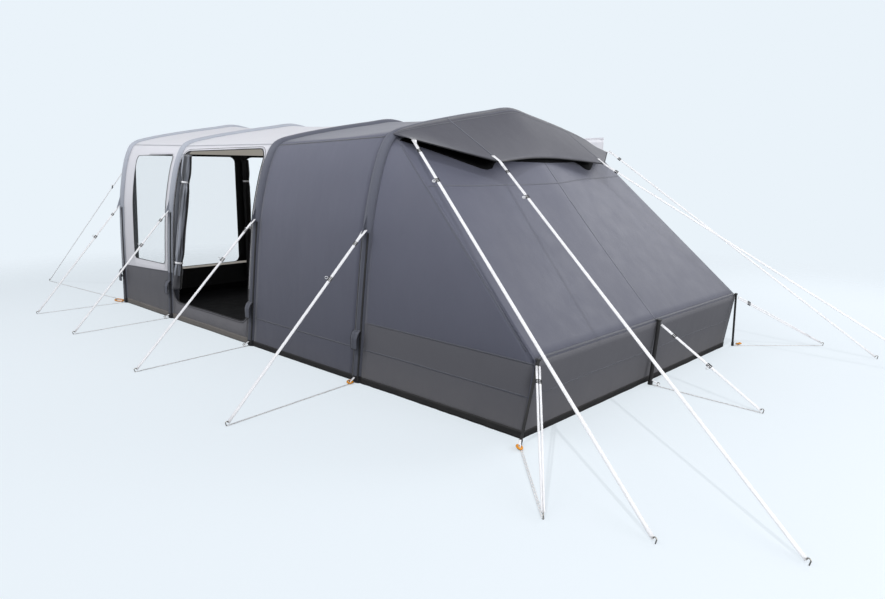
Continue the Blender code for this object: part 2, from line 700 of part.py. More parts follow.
def rear_poles():
    """Three upstand poles that hold the low rear wall up, each with a flat cap at its top."""
    for word, (side, radius) in POLES.items():
        ankle = pole_point(word, radius)
        foot = Vector((ankle.x, ankle.y, 0))
        top = pole_point(word, POLE_TOP_HEIGHT)
        up = (top - ankle).normalized()
        cap = (radius + CAP_RIM) / radius
        points = [foot, ankle, top, top + up * TOUCH_GAP, top + up * CAP_THICKNESS]
        pole = tube("rear_pole_" + word, "black_pole", points, radius)
        for point, wide in zip(pole.data.splines[0].points, (1, 1, 1, cap, cap)):
            point.radius = wide


def valve_covers():
    """The screw cap of each air valve and the cloth flap that hangs over it."""
    for arch in ARCHES:
        seat = leg_point(arch, VALVE_HEIGHT)
        cap = disc("valve_cap_" + arch, VALVE_CAP_RADIUS, VALVE_CAP_DEPTH, BUTTON_SIDES // 2)
        keep(cap, "black_plastic", (seat.x, seat.y - VALVE_DEPTH - TOUCH_GAP - VALVE_CAP_DEPTH / 2, seat.z))
        hinge = leg_point(arch, FLAP_TOP)
        flap = cloth("valve_flap_" + arch, "dark_fabric", 2, len(FLAP_SHARES) - 1, flap_place,
                     FLAP_CLOTH, Vector((0, 0, -FLAP_HEIGHT / 2)), -1)
        flap.location = (hinge.x, hinge.y - FLAP_SEAT, hinge.z)


def flap_place(i, j):
    """A corner of a valve flap, from its hinge at the origin: it hangs down and stands off."""
    out, down = FLAP_SHARES[j]
    return Vector((FLAP_WIDTH * (i / 2 - 0.5), -FLAP_STANDOFF * out, -FLAP_HEIGHT * down))


def zip_sliders():
    """The sliders of the near door's zip and of the front door's zip."""
    near = block("door_zip_slider", (SLIDER_WIDTH, SLIDER_DEPTH, SLIDER_LENGTH), SLIDER_BEVEL)
    low = leg_point("c", DOOR_SLIDER_HEIGHT, FABRIC_INSET)
    high = leg_point("c", DOOR_SLIDER_HEIGHT + SLIDER_LENGTH, FABRIC_INSET)
    out = SEAM_GAP + SLIDER_DEPTH / 2
    keep(near, "black_plastic", (low.x - PANEL_SIDE - DOOR_MARGIN / 2, low.y - out, low.z))
    near.rotation_euler = Vector((0, 0, 1)).rotation_difference(high - low).to_euler()
    front = block("front_zip_slider", (SLIDER_DEPTH, SLIDER_WIDTH, SLIDER_LENGTH), SLIDER_BEVEL)
    x = arch_x("a", FRONT_SLIDER_HEIGHT) - CLOTH / 2 - out
    keep(front, "black_plastic", (x, FRONT_DOOR_FAR_Y + SLIDER_MARGIN, FRONT_SLIDER_HEIGHT))


def from_round(middle, above, at, round_radius, radius):
    """Where a guy to the peg at starts, so that its square end just clears a round piece's side."""
    over_peg = Vector((at[0], at[1], radius + GUY_END_CLEARANCE))
    axis = (above - middle).normalized()
    out = over_peg - middle
    out = (out - axis * out.dot(axis)).normalized()
    seat = middle + out * round_radius
    way = (over_peg - seat).normalized()
    level = way.dot(out)
    return seat + way * (TAB_GAP + radius * math.sqrt(1 - level ** 2)) / level


def leg_radius(middle, at):
    """How far a leg's many-sided sleeve reaches from its axis towards a peg. A corner faces -Y."""
    turn = math.atan2(abs(at[0] - middle.x), abs(at[1] - middle.y))
    side = math.tau / BEAM_SIDES
    return BEAM_RADIUS * math.cos(side / 2) / math.cos(turn % side - side / 2)


def guy_list():
    """Each guy: name, start, peg, radius, what its ground cord runs back to, and if it has a runner."""
    guys = []
    for arch, height, at, word in (("a", GUY_TAB_HEIGHT, PEG_A_SIDE, "beam_a"),
                                   ("a", FRONT_GUY_HEIGHT, PEG_A_FRONT, "front_corner"),
                                   ("b", GUY_TAB_HEIGHT, PEG_B, "beam_b"),
                                   ("c", GUY_TAB_HEIGHT, PEG_C, "beam_c"),
                                   ("d", GUY_TAB_HEIGHT, PEG_D, "beam_d")):
        middle, above = (leg_point(arch, z, BEAM_RADIUS) for z in (height, height + BEAM_RADIUS))
        start = from_round(middle, above, at, leg_radius(middle, at), GUY_RADIUS)
        foot = arch_points(arch, BEAM_RADIUS)[0]
        guys.append((word, start, at, GUY_RADIUS, (foot, leg_radius(foot, at)), True))
    for word, at, radius in (("near", (PEG_CORNER[0], -PEG_CORNER[1]), CORNER_GUY_RADIUS),
                             ("middle", PEG_REAR_MIDDLE, GUY_RADIUS),
                             ("far", PEG_CORNER, CORNER_GUY_RADIUS)):
        pole_radius = POLES[word][1]
        middle, above = (pole_point(word, z) for z in (POLE_GUY_HEIGHT, POLE_TOP_HEIGHT))
        start = from_round(middle, above, at, pole_radius, radius)
        guys.append(("rear_" + word, start, at, radius, (pole_point(word, pole_radius), pole_radius),
                     word == "middle"))
    for word, corner, at, gap in (("outer", HOOD_OUTER, PEG_HOOD_OUTER, HOOD_TAB_GAP),
                                  ("inner", HOOD_INNER, PEG_HOOD_INNER, TAB_GAP)):
        for side, near in ((-1, "near"), (1, "far")):
            top = Vector((corner[0], side * corner[1], corner[2]))
            peg = Vector((at[0], side * at[1], 0))
            start = top + (peg - top).normalized() * gap
            guys.append((f"hood_{near}_{word}", start, peg, GUY_RADIUS, None, near == "near"))
    return guys


def guys():
    """The webbing guys with the cord that runs back along the ground, and their sliding runners."""
    for name, start, at, radius, foot, has_runner in guy_list():
        over_peg = Vector((at[0], at[1], radius + GUY_END_CLEARANCE))
        way = (over_peg - start).normalized()
        points = [start, over_peg - way * radius]
        shares = [1, 1]
        if foot:
            level = CORD_RADIUS + TOUCH_GAP
            on_ground = Vector((at[0], at[1], level))
            back = Vector((foot[0].x, foot[0].y, level))
            home = (back - on_ground).normalized()
            turn = over_peg.lerp(on_ground, 0.5) - home * (radius + CORD_RADIUS)
            points += [turn, on_ground, back - home * (foot[1] + SEAM_GAP)]
            thin = CORD_RADIUS / radius
            shares += [2 * thin, thin, thin]
        line = tube("guy_" + name, "webbing", points, radius)
        for point, share in zip(line.data.splines[0].points, shares):
            point.radius = share
        if has_runner:
            runner = pipe("runner_" + name, radius + RUNNER_PLAY, RUNNER_WALL, RUNNER_LENGTH)
            keep(runner, "black_plastic", start + way * min(RUNNER_DOWN, (over_peg - start).length / 2))
            runner.rotation_euler = Vector((0, 0, 1)).rotation_difference(way).to_euler()


for old in list(bpy.data.objects):
    bpy.data.objects.remove(old)
AWNING = bpy.data.collections.new("drive_away_awning")
CUTTERS = bpy.data.collections.new("cutters")
bpy.context.scene.collection.children.link(AWNING)
bpy.context.scene.collection.children.link(CUTTERS)

groundsheet()
beams()
walls_and_roof()
front_wall()
rear_end()
rear_hood()
rolled_doors()
tunnel()
rear_poles()
valve_covers()
zip_sliders()
guys()
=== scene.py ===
# Inflatable drive-away awning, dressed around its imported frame: cloth, film, webbing, cord and fittings.
# Metres, +X towards the sloping bedroom end, -Y the side with the open door, +Z up.
import math

import bmesh
import bpy
from mathutils import Matrix, Vector, noise
from mathutils.geometry import interpolate_bezier


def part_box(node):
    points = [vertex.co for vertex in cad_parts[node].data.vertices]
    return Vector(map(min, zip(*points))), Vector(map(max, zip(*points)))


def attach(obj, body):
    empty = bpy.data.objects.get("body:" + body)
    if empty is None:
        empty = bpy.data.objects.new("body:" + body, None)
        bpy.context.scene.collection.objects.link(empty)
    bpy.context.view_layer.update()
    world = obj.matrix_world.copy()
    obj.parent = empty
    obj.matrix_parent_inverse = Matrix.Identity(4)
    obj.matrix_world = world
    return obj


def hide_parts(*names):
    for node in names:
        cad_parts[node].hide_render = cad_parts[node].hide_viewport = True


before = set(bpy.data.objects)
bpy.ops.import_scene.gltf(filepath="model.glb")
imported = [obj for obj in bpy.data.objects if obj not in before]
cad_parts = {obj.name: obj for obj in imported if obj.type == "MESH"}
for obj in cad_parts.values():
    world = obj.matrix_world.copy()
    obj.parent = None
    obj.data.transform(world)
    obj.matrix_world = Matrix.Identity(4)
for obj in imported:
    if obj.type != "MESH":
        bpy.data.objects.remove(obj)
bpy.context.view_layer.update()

# ---------------------------------------------------------------------------------------------
# Camera, ground and light: the photograph's own pinhole, a pale floor that fades into the same
# pale blue as the sky behind it, soft light from all round and a weak sun from the near side.
EYE = Vector((5.266, -4.564, 1.580))
PITCH, YAW, ROLL = math.radians(10.944), math.radians(133.977), math.radians(0.25)
FOCAL_PIXELS, PHOTO_WIDTH, SENSOR = 668.41, 885, 36.0
look = Vector((math.cos(YAW) * math.cos(PITCH), math.sin(YAW) * math.cos(PITCH), -math.sin(PITCH)))
level = Vector((math.sin(YAW), -math.cos(YAW), 0))
upright = level.cross(look)
right = level * math.cos(ROLL) + upright * math.sin(ROLL)
top = upright * math.cos(ROLL) - level * math.sin(ROLL)
camera = bpy.data.cameras.new("photo_camera")
camera.sensor_width = SENSOR
camera.lens = SENSOR * FOCAL_PIXELS / PHOTO_WIDTH
camera.clip_start, camera.clip_end = 0.05, 200
eye = bpy.data.objects.new("photo_camera", camera)
eye.matrix_world = Matrix.Translation(EYE) @ Matrix((right, top, -look)).transposed().to_4x4()
bpy.context.scene.collection.objects.link(eye)
bpy.context.scene.camera = eye
bpy.context.scene.view_settings.view_transform = "Standard"
bpy.context.scene.view_settings.look = "None"

BACKDROP = (0.823, 0.896, 0.956)
SKY_TOP, SKY_SIDE, SKY_LOW = (0.16, 0.17, 0.19), (0.78, 0.80, 0.84), (0.38, 0.39, 0.41)
world = bpy.data.worlds.new("pale_studio")
world.use_nodes = True
bpy.context.scene.world = world
nodes, links = world.node_tree.nodes, world.node_tree.links
background = nodes["Background"]
where = nodes.new("ShaderNodeTexCoord")
split = nodes.new("ShaderNodeSeparateXYZ")
links.new(where.outputs["Generated"], split.inputs[0])
dome = nodes.new("ShaderNodeValToRGB")
dome.color_ramp.elements[0].position, dome.color_ramp.elements[0].color = 0.0, (*SKY_LOW, 1)
dome.color_ramp.elements[1].position, dome.color_ramp.elements[1].color = 1.0, (*SKY_TOP, 1)
dome.color_ramp.elements.new(0.5).color = (*SKY_SIDE, 1)
rise = nodes.new("ShaderNodeMapRange")
rise.inputs["From Min"].default_value = -1
links.new(split.outputs["Z"], rise.inputs["Value"])
links.new(rise.outputs["Result"], dome.inputs["Fac"])
ray = nodes.new("ShaderNodeLightPath")
choose = nodes.new("ShaderNodeMix")
choose.data_type = "RGBA"
choose.inputs["B"].default_value = (*BACKDROP, 1)
links.new(dome.outputs["Color"], choose.inputs["A"])
links.new(ray.outputs["Is Camera Ray"], choose.inputs["Factor"])
links.new(choose.outputs["Result"], background.inputs["Color"])

SUN_FROM = Vector((0.20, -0.69, 1.0))
SUN_STRENGTH, SUN_SOFTNESS = 0.85, math.radians(0.7)
sun = bpy.data.lights.new("weak_sun", "SUN")
sun.energy, sun.angle = SUN_STRENGTH, SUN_SOFTNESS
sun_object = bpy.data.objects.new("weak_sun", sun)
sun_object.rotation_euler = SUN_FROM.to_track_quat("Z", "Y").to_euler()
bpy.context.scene.collection.objects.link(sun_object)
SOFTBOXES = {"key_softbox": ((-0.6, -5.0, 4.8), (-0.3, -1.4, 1.7), (7.0, 2.4), 115),
             "back_softbox": ((4.5, 7.0, 5.5), (2.4, 0.3, 1.0), (5.0, 3.0), 250),
             "fill_softbox": ((9.0, -1.5, 2.6), (2.5, 0.0, 0.6), (5.0, 3.0), 220)}
for name, (place, aim, (wide, long), watts) in SOFTBOXES.items():
    lamp = bpy.data.lights.new(name, "AREA")
    lamp.shape, lamp.size, lamp.size_y, lamp.energy = "RECTANGLE", wide, long, watts
    lamp_object = bpy.data.objects.new(name, lamp)
    lamp_object.location = place
    lamp_object.rotation_euler = (Vector(place) - Vector(aim)).to_track_quat("Z", "Y").to_euler()
    bpy.context.scene.collection.objects.link(lamp_object)

FLOOR_HALF, FLOOR_FADE_FROM, FLOOR_FADE_TO, FLOOR_DROP = 40, 5, 9, 0.0006
FLOOR_COLOUR, FLOOR_SEEN, FLOOR_GLOW = (0.235, 0.250, 0.265), (0.395, 0.420, 0.445), (0.445, 0.486, 0.512)
floor_material = bpy.data.materials.new("pale_floor")
floor_material.use_nodes = True
nodes, links = floor_material.node_tree.nodes, floor_material.node_tree.links
shader = nodes["Principled BSDF"]
shader.inputs["Roughness"].default_value = 0.95
shader.inputs["Specular IOR Level"].default_value = 0.0
where = nodes.new("ShaderNodeTexCoord")
radius = nodes.new("ShaderNodeVectorMath")
radius.operation = "LENGTH"
fade = nodes.new("ShaderNodeMapRange")
fade.interpolation_type = "SMOOTHSTEP"
fade.inputs["From Min"].default_value, fade.inputs["From Max"].default_value = FLOOR_FADE_FROM, FLOOR_FADE_TO
fade.inputs["To Min"].default_value, fade.inputs["To Max"].default_value = 1, 0
links.new(where.outputs["Object"], radius.inputs[0])
links.new(radius.outputs["Value"], fade.inputs["Value"])
links.new(fade.outputs["Result"], shader.inputs["Alpha"])
seen = nodes.new("ShaderNodeLightPath")
for socket, lit, looked_at in (("Emission Color", (0, 0, 0), FLOOR_GLOW), ("Base Color", FLOOR_COLOUR, FLOOR_SEEN)):
    pick = nodes.new("ShaderNodeMix")
    pick.data_type = "RGBA"
    pick.inputs["A"].default_value, pick.inputs["B"].default_value = (*lit, 1), (*looked_at, 1)
    links.new(seen.outputs["Is Camera Ray"], pick.inputs["Factor"])
    links.new(pick.outputs["Result"], shader.inputs[socket])
shader.inputs["Emission Strength"].default_value = 1.0
bm = bmesh.new()
bmesh.ops.create_grid(bm, x_segments=8, y_segments=8, size=FLOOR_HALF)
bmesh.ops.translate(bm, verts=bm.verts, vec=(0, 0, -FLOOR_DROP))
floor_mesh = bpy.data.meshes.new("floor")
bm.to_mesh(floor_mesh)
bm.free()
floor = bpy.data.objects.new("floor", floor_mesh)
floor.data.materials.append(floor_material)
bpy.context.scene.collection.objects.link(floor)

# ---------------------------------------------------------------------------------------------
# Guy lines: flat white polyester webbing, 20 mm wide, from a beam, the hood or the low rear wall down
# to a steel peg. The rear corners have two narrower strands. All but the hood's also have a thin
# ladder band of white rubber, from the peg back along the ground.
STRAP_THICKNESS, STRAP_STEPS = 0.0018, 24
TENT = "tent"


def group(name, inputs, outputs):
    """A shader node group with named sockets, and its input and output nodes."""
    made = bpy.data.node_groups.new(name, "ShaderNodeTree")
    for label, kind, value in inputs:
        socket = made.interface.new_socket(label, in_out="INPUT", socket_type=kind)
        if value is not None:
            socket.default_value = value
    for label, kind in outputs:
        made.interface.new_socket(label, in_out="OUTPUT", socket_type=kind)
    return made, made.nodes.new("NodeGroupInput"), made.nodes.new("NodeGroupOutput")


def maths(tree, operation, *values):
    """A maths node fed by sockets or plain numbers."""
    made = tree.nodes.new("ShaderNodeMath")
    made.operation = operation
    for socket, value in zip(made.inputs, values):
        if isinstance(value, (int, float)):
            socket.default_value = value
        else:
            tree.links.new(value, socket)
    return made.outputs[0]


def mixed(tree, factor, first, second):
    """A colour mix of two sockets or colours."""
    made = tree.nodes.new("ShaderNodeMix")
    made.data_type = "RGBA"
    for name, value in (("Factor", factor), ("A", first), ("B", second)):
        socket = [s for s in made.inputs if s.name == name and s.enabled][0]
        if isinstance(value, (int, float, tuple)):
            socket.default_value = value
        else:
            tree.links.new(value, socket)
    return [s for s in made.outputs if s.enabled][0]


def noise_at(tree, vector, scale, detail=3.0, rough=0.55):
    """A noise texture's value at a vector socket."""
    made = tree.nodes.new("ShaderNodeTexNoise")
    made.inputs["Scale"].default_value = scale
    made.inputs["Detail"].default_value = detail
    made.inputs["Roughness"].default_value = rough
    tree.links.new(vector, made.inputs["Vector"])
    return made.outputs["Fac"]


def split_place(tree, output):
    """A texture coordinate node, and the X, Y and Z of one of its outputs."""
    place_of = tree.nodes.new("ShaderNodeTexCoord")
    parts = tree.nodes.new("ShaderNodeSeparateXYZ")
    tree.links.new(place_of.outputs[output], parts.inputs[0])
    return place_of, parts.outputs


# Webbing: ribs across the strap, a fine weave along it and a little handling dirt
webbing_group, into, out = group(
    "woven_webbing", [("Colour", "NodeSocketColor", (1, 1, 1, 1)), ("Rib", "NodeSocketFloat", 400.0)],
    [("Colour", "NodeSocketColor"), ("Height", "NodeSocketFloat")])
tree = webbing_group
place_of, xyz = split_place(tree, "UV")
rib = maths(tree, "SINE", maths(tree, "MULTIPLY", xyz["Y"], into.outputs["Rib"]))
cross = maths(tree, "SINE", maths(tree, "MULTIPLY", xyz["X"], 3200.0))
height = maths(tree, "MULTIPLY", rib, cross)
soil = noise_at(tree, place_of.outputs["Object"], 9.0, 4.0)
shade = maths(tree, "MULTIPLY", maths(tree, "SUBTRACT", soil, 0.46), 0.35)
shade = maths(tree, "ADD", shade, maths(tree, "MULTIPLY", height, -0.03))
tree.links.new(mixed(tree, shade, into.outputs["Colour"], (0.30, 0.29, 0.27, 1)), out.inputs["Colour"])
tree.links.new(height, out.inputs["Height"])


def principled(name, roughness, **plain):
    """A new material's tree and its Principled shader, with plain values on its own sockets."""
    made = bpy.data.materials.new(name)
    made.use_nodes = True
    shader = made.node_tree.nodes["Principled BSDF"]
    shader.inputs["Roughness"].default_value = roughness
    for label, value in plain.items():
        shader.inputs[label.replace("_", " ")].default_value = value
    return made, made.node_tree, shader


def use(tree, node_group, **values):
    """Places a node group in a material, with its own values."""
    made = tree.nodes.new("ShaderNodeGroup")
    made.node_tree = node_group
    for label, value in values.items():
        made.inputs[label].default_value = value
    return made


def bumped(tree, shader, height, strength, distance):
    """Feeds a height to the shader's normal through a bump."""
    bump = tree.nodes.new("ShaderNodeBump")
    bump.inputs["Strength"].default_value = strength
    bump.inputs["Distance"].default_value = distance
    tree.links.new(height, bump.inputs["Height"])
    tree.links.new(bump.outputs["Normal"], shader.inputs["Normal"])


WHITE_WEBBING, tree, shader = principled("white_webbing", 0.75, Sheen_Weight=0.3, Sheen_Roughness=0.5)
weave = use(tree, webbing_group, Colour=(0.90, 0.90, 0.92, 1), Rib=2400.0)
tree.links.new(weave.outputs["Colour"], shader.inputs["Base Color"])
bumped(tree, shader, weave.outputs["Height"], 0.35, 0.0004)


def speckled(name, roughness, scale, detail, first, second, **plain):
    """A finish that wanders between two colours with a noise: its material, tree, shader and noise."""
    made, tree, shader = principled(name, roughness, **plain)
    place_of = tree.nodes.new("ShaderNodeTexCoord")
    grain = noise_at(tree, place_of.outputs["Object"], scale, detail)
    tree.links.new(mixed(tree, grain, (*first, 1), (*second, 1)), shader.inputs["Base Color"])
    return made, tree, shader, grain


RUBBER = speckled("white_rubber", 0.55, 60.0, 5.0, (0.94, 0.94, 0.95), (0.72, 0.71, 0.70))[0]
STEEL, tree, shader, dull = speckled("zinc_plated_steel", 0.32, 90.0, 4.0, (0.62, 0.60, 0.56), (0.30, 0.28, 0.25),
                                     Metallic=1.0)
tree.links.new(maths(tree, "ADD", maths(tree, "MULTIPLY", dull, 0.3), 0.2), shader.inputs["Roughness"])
BLACK_PLASTIC, tree, shader, grain = speckled("black_plastic", 0.42, 900.0, 2.0, (0.016, 0.016, 0.017),
                                              (0.030, 0.030, 0.031))
bumped(tree, shader, grain, 0.25, 0.0003)


def piece(name, bm, *finishes, smooth=True):
    """An object from a bmesh with its finishes, on the tent's own body."""
    mesh = bpy.data.meshes.new(name)
    bm.to_mesh(mesh)
    bm.free()
    if smooth:
        mesh.shade_smooth()
    obj = bpy.data.objects.new(name, mesh)
    bpy.context.scene.collection.objects.link(obj)
    for finish in finishes:
        obj.data.materials.append(finish)
    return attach(obj, TENT)


def cloth(name, across, along, place, thickness, *finishes, outwards=1, inside=None):
    """A sheet of across by along cells with each corner at place(u, v), a UV map in metres and a
    wall of that thickness. A second finish goes on its inner face."""
    bm = bmesh.new()
    bmesh.ops.create_grid(bm, x_segments=across, y_segments=along, size=1)
    layer = bm.loops.layers.uv.new("UVMap")
    wide = sum((place((i + 1) / across, 0.5) - place(i / across, 0.5)).length for i in range(across))
    long = sum((place(0.5, (j + 1) / along) - place(0.5, j / along)).length for j in range(along))
    for face in bm.faces:
        for loop in face.loops:
            u, v = (loop.vert.co.x + 1) / 2, (loop.vert.co.y + 1) / 2
            loop[layer].uv = (u * wide, v * long)
    for v in bm.verts:
        v.co = place((v.co.x + 1) / 2, (v.co.y + 1) / 2)
    bm.normal_update()
    if inside is not None:
        pull = sum(f.normal.dot(f.calc_center_median() - inside) * f.calc_area() for f in bm.faces)
        if pull < 0:
            bmesh.ops.reverse_faces(bm, faces=bm.faces)
    obj = piece(name, bm, *finishes)
    wall = obj.modifiers.new("cloth", "SOLIDIFY")
    wall.thickness, wall.offset = thickness, outwards
    wall.use_even_offset = True
    wall.material_offset = len(finishes) - 1
    obj["flat_wide"], obj["flat_long"] = wide, long
    return obj


def undeclared(obj):
    """Clears the flat size that a cloth piece was made with."""
    del obj["flat_wide"], obj["flat_long"]
    return obj


def sewn(obj):
    """Clears the flat size that a cloth piece was made with, as undeclared does."""
    undeclared(obj)
    return obj


def run_along(points):
    """How far along a line each of its points is."""
    run = [0.0]
    for a, b in zip(points, points[1:]):
        run.append(run[-1] + (b - a).length)
    return run


def ways_along(points):
    """The way that a line runs at each of its points."""
    last = len(points) - 1
    return [points[min(i + 1, last)] - points[max(i - 1, 0)] for i in range(last + 1)]


def strap(name, points, width, finish, facing, steps=STRAP_STEPS, thickness=STRAP_THICKNESS):
    """Flat webbing along a polyline. width and facing, the way its flat face looks, are one for all
    its points or one for each."""
    facings = facing if isinstance(facing, list) else [facing] * len(points)
    widths = width if isinstance(width, list) else [width] * len(points)
    run, ways = run_along(points), ways_along(points)

    def place(u, v):
        along = v * run[-1]
        i = min(max(sum(r <= along for r in run) - 1, 0), len(points) - 2)
        share = (along - run[i]) / (run[i + 1] - run[i])
        way = ways[i + 1] * share + ways[i] * (1 - share)
        side = way.cross(facings[i].lerp(facings[i + 1], share)).normalized()
        wide = widths[i] + (widths[i + 1] - widths[i]) * share
        return points[i].lerp(points[i + 1], share) + side * (u - 0.5) * wide
    return cloth(name, 2, steps, place, thickness, finish, outwards=0)


def rods(name, lines, finish, closed=False, sides=3, body=None):
    """Round rods along lines of (points, radius), as one piece."""
    bm = bmesh.new()
    for points, radius in lines:
        curve = bpy.data.curves.new("rod", "CURVE")
        curve.dimensions = "3D"
        spline = curve.splines.new("POLY")
        spline.points.add(len(points) - 1)
        for target, point in zip(spline.points, points):
            target.co = (*point, 1)
        spline.use_cyclic_u = closed
        curve.bevel_depth, curve.bevel_resolution = radius, sides
        curve.use_fill_caps = not closed
        obj = bpy.data.objects.new("rod", curve)
        mesh = bpy.data.meshes.new_from_object(obj)
        bm.from_mesh(mesh)
        bpy.data.objects.remove(obj)
        bpy.data.curves.remove(curve)
        bpy.data.meshes.remove(mesh)
    bmesh.ops.remove_doubles(bm, verts=bm.verts, dist=0.00005)
    bmesh.ops.recalc_face_normals(bm, faces=bm.faces)
    made = piece(name, bm, finish)
    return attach(made, body) if body else made


def curved(points, steps=6):
    """A smooth line through points."""
    line = []
    for k in range(len(points) - 1):
        before, a, b, after = points[max(k - 1, 0)], points[k], points[k + 1], points[min(k + 2, len(points) - 1)]
        third = (b - a).length / 3
        line += list(interpolate_bezier(a, a + (b - before).normalized() * third,
                                        b - (after - a).normalized() * third, b, steps + 1))[:-1]
    return line + [points[-1]]


# Each guy: its start, its peg, and where its ladder band comes back to the tent
GUYS = {
    "beam_a": ((-2.9598, -1.5117, 1.1543), (-2.970, -2.474), (-2.976, -1.540)),
    "front_corner": ((-3.0140, -1.3650, 1.6153), (-5.330, -1.676), (-3.033, -1.487)),
    "beam_b": ((-1.6649, -1.5077, 1.1548), (-1.689, -2.510), (-1.753, -1.540)),
    "beam_c": ((0.0351, -1.5044, 1.1558), (-0.015, -2.588), (-0.107, -1.540)),
    "beam_d": ((1.5392, -1.5061, 1.1568), (1.546, -2.648), (1.424, -1.540)),
    "rear_near": ((3.0851, -1.5076, 0.4739), (3.632, -2.195), (3.049, -1.609)),
    "rear_middle": ((3.0985, -0.0011, 0.4737), (3.864, -0.042), (3.058, -0.001)),
    "rear_far": ((3.0851, 1.5076, 0.4739), (3.632, 2.195), (3.049, 1.609)),
    "hood_near_outer": ((1.8444, -1.3197, 1.7871), (4.098, -2.027), None),
    "hood_far_outer": ((1.8300, 1.3060, 1.7680), (4.098, 2.027), None),
    "hood_near_inner": ((2.1317, -0.7173, 1.6385), (4.624, -1.736), None),
    "hood_far_inner": ((2.1317, 0.7173, 1.6385), (4.624, 1.736), None),
}
GUY_WIDTH, GUY_FACING, FRONT_FACING = 0.020, (0.6, -0.5, 0.6), (0.3, -0.8, 0.5)
TWIN_GUYS, TWIN_WIDTH, STRAND_WIDTH, STRAND_OFF = ("rear_near", "rear_far"), 0.030, 0.0125, 0.0088
SINGLE_END, TWIN_END = 0.002, 0.006
PEG_RADIUS, PEG_FOOT = 0.0030, 0.001
PEG_HOOK = ((0.004, 0.0), (0.008, 0.014), (0.010, 0.023), (0.004, 0.029), (-0.006, 0.027), (-0.010, 0.019))
BUCKLE_ALONG, BUCKLE_RIM, BUCKLE_HALF, BUCKLE_DEPTH, BUCKLE_EDGE = 0.126, 0.0045, 0.015, 0.0032, 0.0010
LADDER_WIDTH, LADDER_THICKNESS, LADDER_HEIGHT, LADDER_STEPS = 0.014, 0.0022, 0.0024, 24
LADDER_PITCH, LADDER_RUNG_EVERY, LADDER_CORE = 0.012, 3, 0.2


def peg(name, at, way):
    """The head of a steel peg driven in square to its guy, bent over into a hook that holds the loop."""
    flat = Vector((way.x, way.y, 0)).normalized()
    foot = Vector((at[0], at[1], PEG_FOOT))
    line = curved([foot + flat * out + Vector((0, 0, up)) for out, up in PEG_HOOK])
    return rods(name, [(line, PEG_RADIUS)], STEEL)


def slotted(name, middle, side, way, face, half, rows):
    """A flat moulded plate with slots for webbing in every second row. half is half its width,
    length and depth."""
    bm = bmesh.new()
    bmesh.ops.create_grid(bm, x_segments=5, y_segments=rows, size=1)
    slots = [f for f in bm.faces if abs(f.calc_center_median().x) < 0.7 and
             round((f.calc_center_median().y + 1) * rows / 2 - 0.5) % 2]
    bmesh.ops.delete(bm, geom=slots, context="FACES")
    made = bmesh.ops.extrude_face_region(bm, geom=bm.faces[:])
    upper = {v for v in made["geom"] if isinstance(v, bmesh.types.BMVert)}
    for v in bm.verts:
        depth = half[2] if v in upper else -half[2]
        v.co = middle + side * v.co.x * half[0] + way * v.co.y * half[1] + face * depth
    bmesh.ops.recalc_face_normals(bm, faces=bm.faces)
    return piece(name, bm, BLACK_PLASTIC, smooth=False)


def eased(obj, width):
    """Rounds the sharp edges of a hard piece."""
    edge = obj.modifiers.new("edge", "BEVEL")
    edge.width, edge.segments, edge.limit_method = width, 2, "ANGLE"
    return obj


def ladder(name, home, far, path):
    """A thin band with rungs: a flat strip, opened along its middle but for every third cell."""
    way = (far - home).normalized()
    cells = round((far - home).length / LADDER_PITCH)
    band = undeclared(strap(name, path, LADDER_WIDTH, RUBBER, Vector((0, 0, 1)), cells, LADDER_THICKNESS))
    bm = bmesh.new()
    bm.from_mesh(band.data)
    across = [e for e in bm.edges if (e.verts[0].co - e.verts[1].co).dot(far - home) ** 2 < 1e-9 and
              e.calc_length() > 0.001]
    bmesh.ops.subdivide_edges(bm, edges=across, cuts=1)
    gaps = []
    for face in bm.faces:
        centre = face.calc_center_median()
        cell = round((centre - home).dot(way) / LADDER_PITCH - 0.5)
        if (centre - (home + far) / 2).cross(way).length < LADDER_WIDTH * LADDER_CORE and cell % LADDER_RUNG_EVERY:
            gaps.append(face)
    bmesh.ops.delete(bm, geom=gaps, context="FACES")
    bm.to_mesh(band.data)
    bm.free()
    return band


guy_way = {}
for name, (start, at, back) in GUYS.items():
    twin = name in TWIN_GUYS
    width = TWIN_WIDTH if twin else GUY_WIDTH
    start, end = Vector(start), Vector((*at, width / 2 + (TWIN_END if twin else SINGLE_END)))
    way = (end - start).normalized()
    last = end - way * width / 2
    facing = Vector(FRONT_FACING if name == "front_corner" else GUY_FACING)
    facing = (facing - way * facing.dot(way)).normalized()
    side = way.cross(facing)
    guy_way[name] = (start, way, facing)
    hook = peg("peg_" + name, at, way)
    clip = slotted("buckle_" + name, start + way * BUCKLE_ALONG, side.normalized(), way, facing,
                   (width / 2 + BUCKLE_RIM, BUCKLE_HALF, BUCKLE_DEPTH), 5)
    eased(clip, BUCKLE_EDGE)
    for word, off in (("_left", -STRAND_OFF), ("_right", STRAND_OFF)) if twin else (("", 0.0),):
        wide = STRAND_WIDTH if twin else GUY_WIDTH
        path = [start + side * off, start.lerp(last, 0.5) + side * off, last + side * off * 0.4]
        line = undeclared(strap("strap_" + name + word, path, wide, WHITE_WEBBING, facing))
        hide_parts("guy_" + name)
        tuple(path[0])
    if back:
        home, far = Vector((*back, LADDER_HEIGHT)), Vector((*at, LADDER_HEIGHT))
        path = [home.lerp(far, i / LADDER_STEPS) for i in range(LADDER_STEPS + 1)]
        band = ladder("ground_band_" + name, home, far, path)
        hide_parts("guy_" + name)

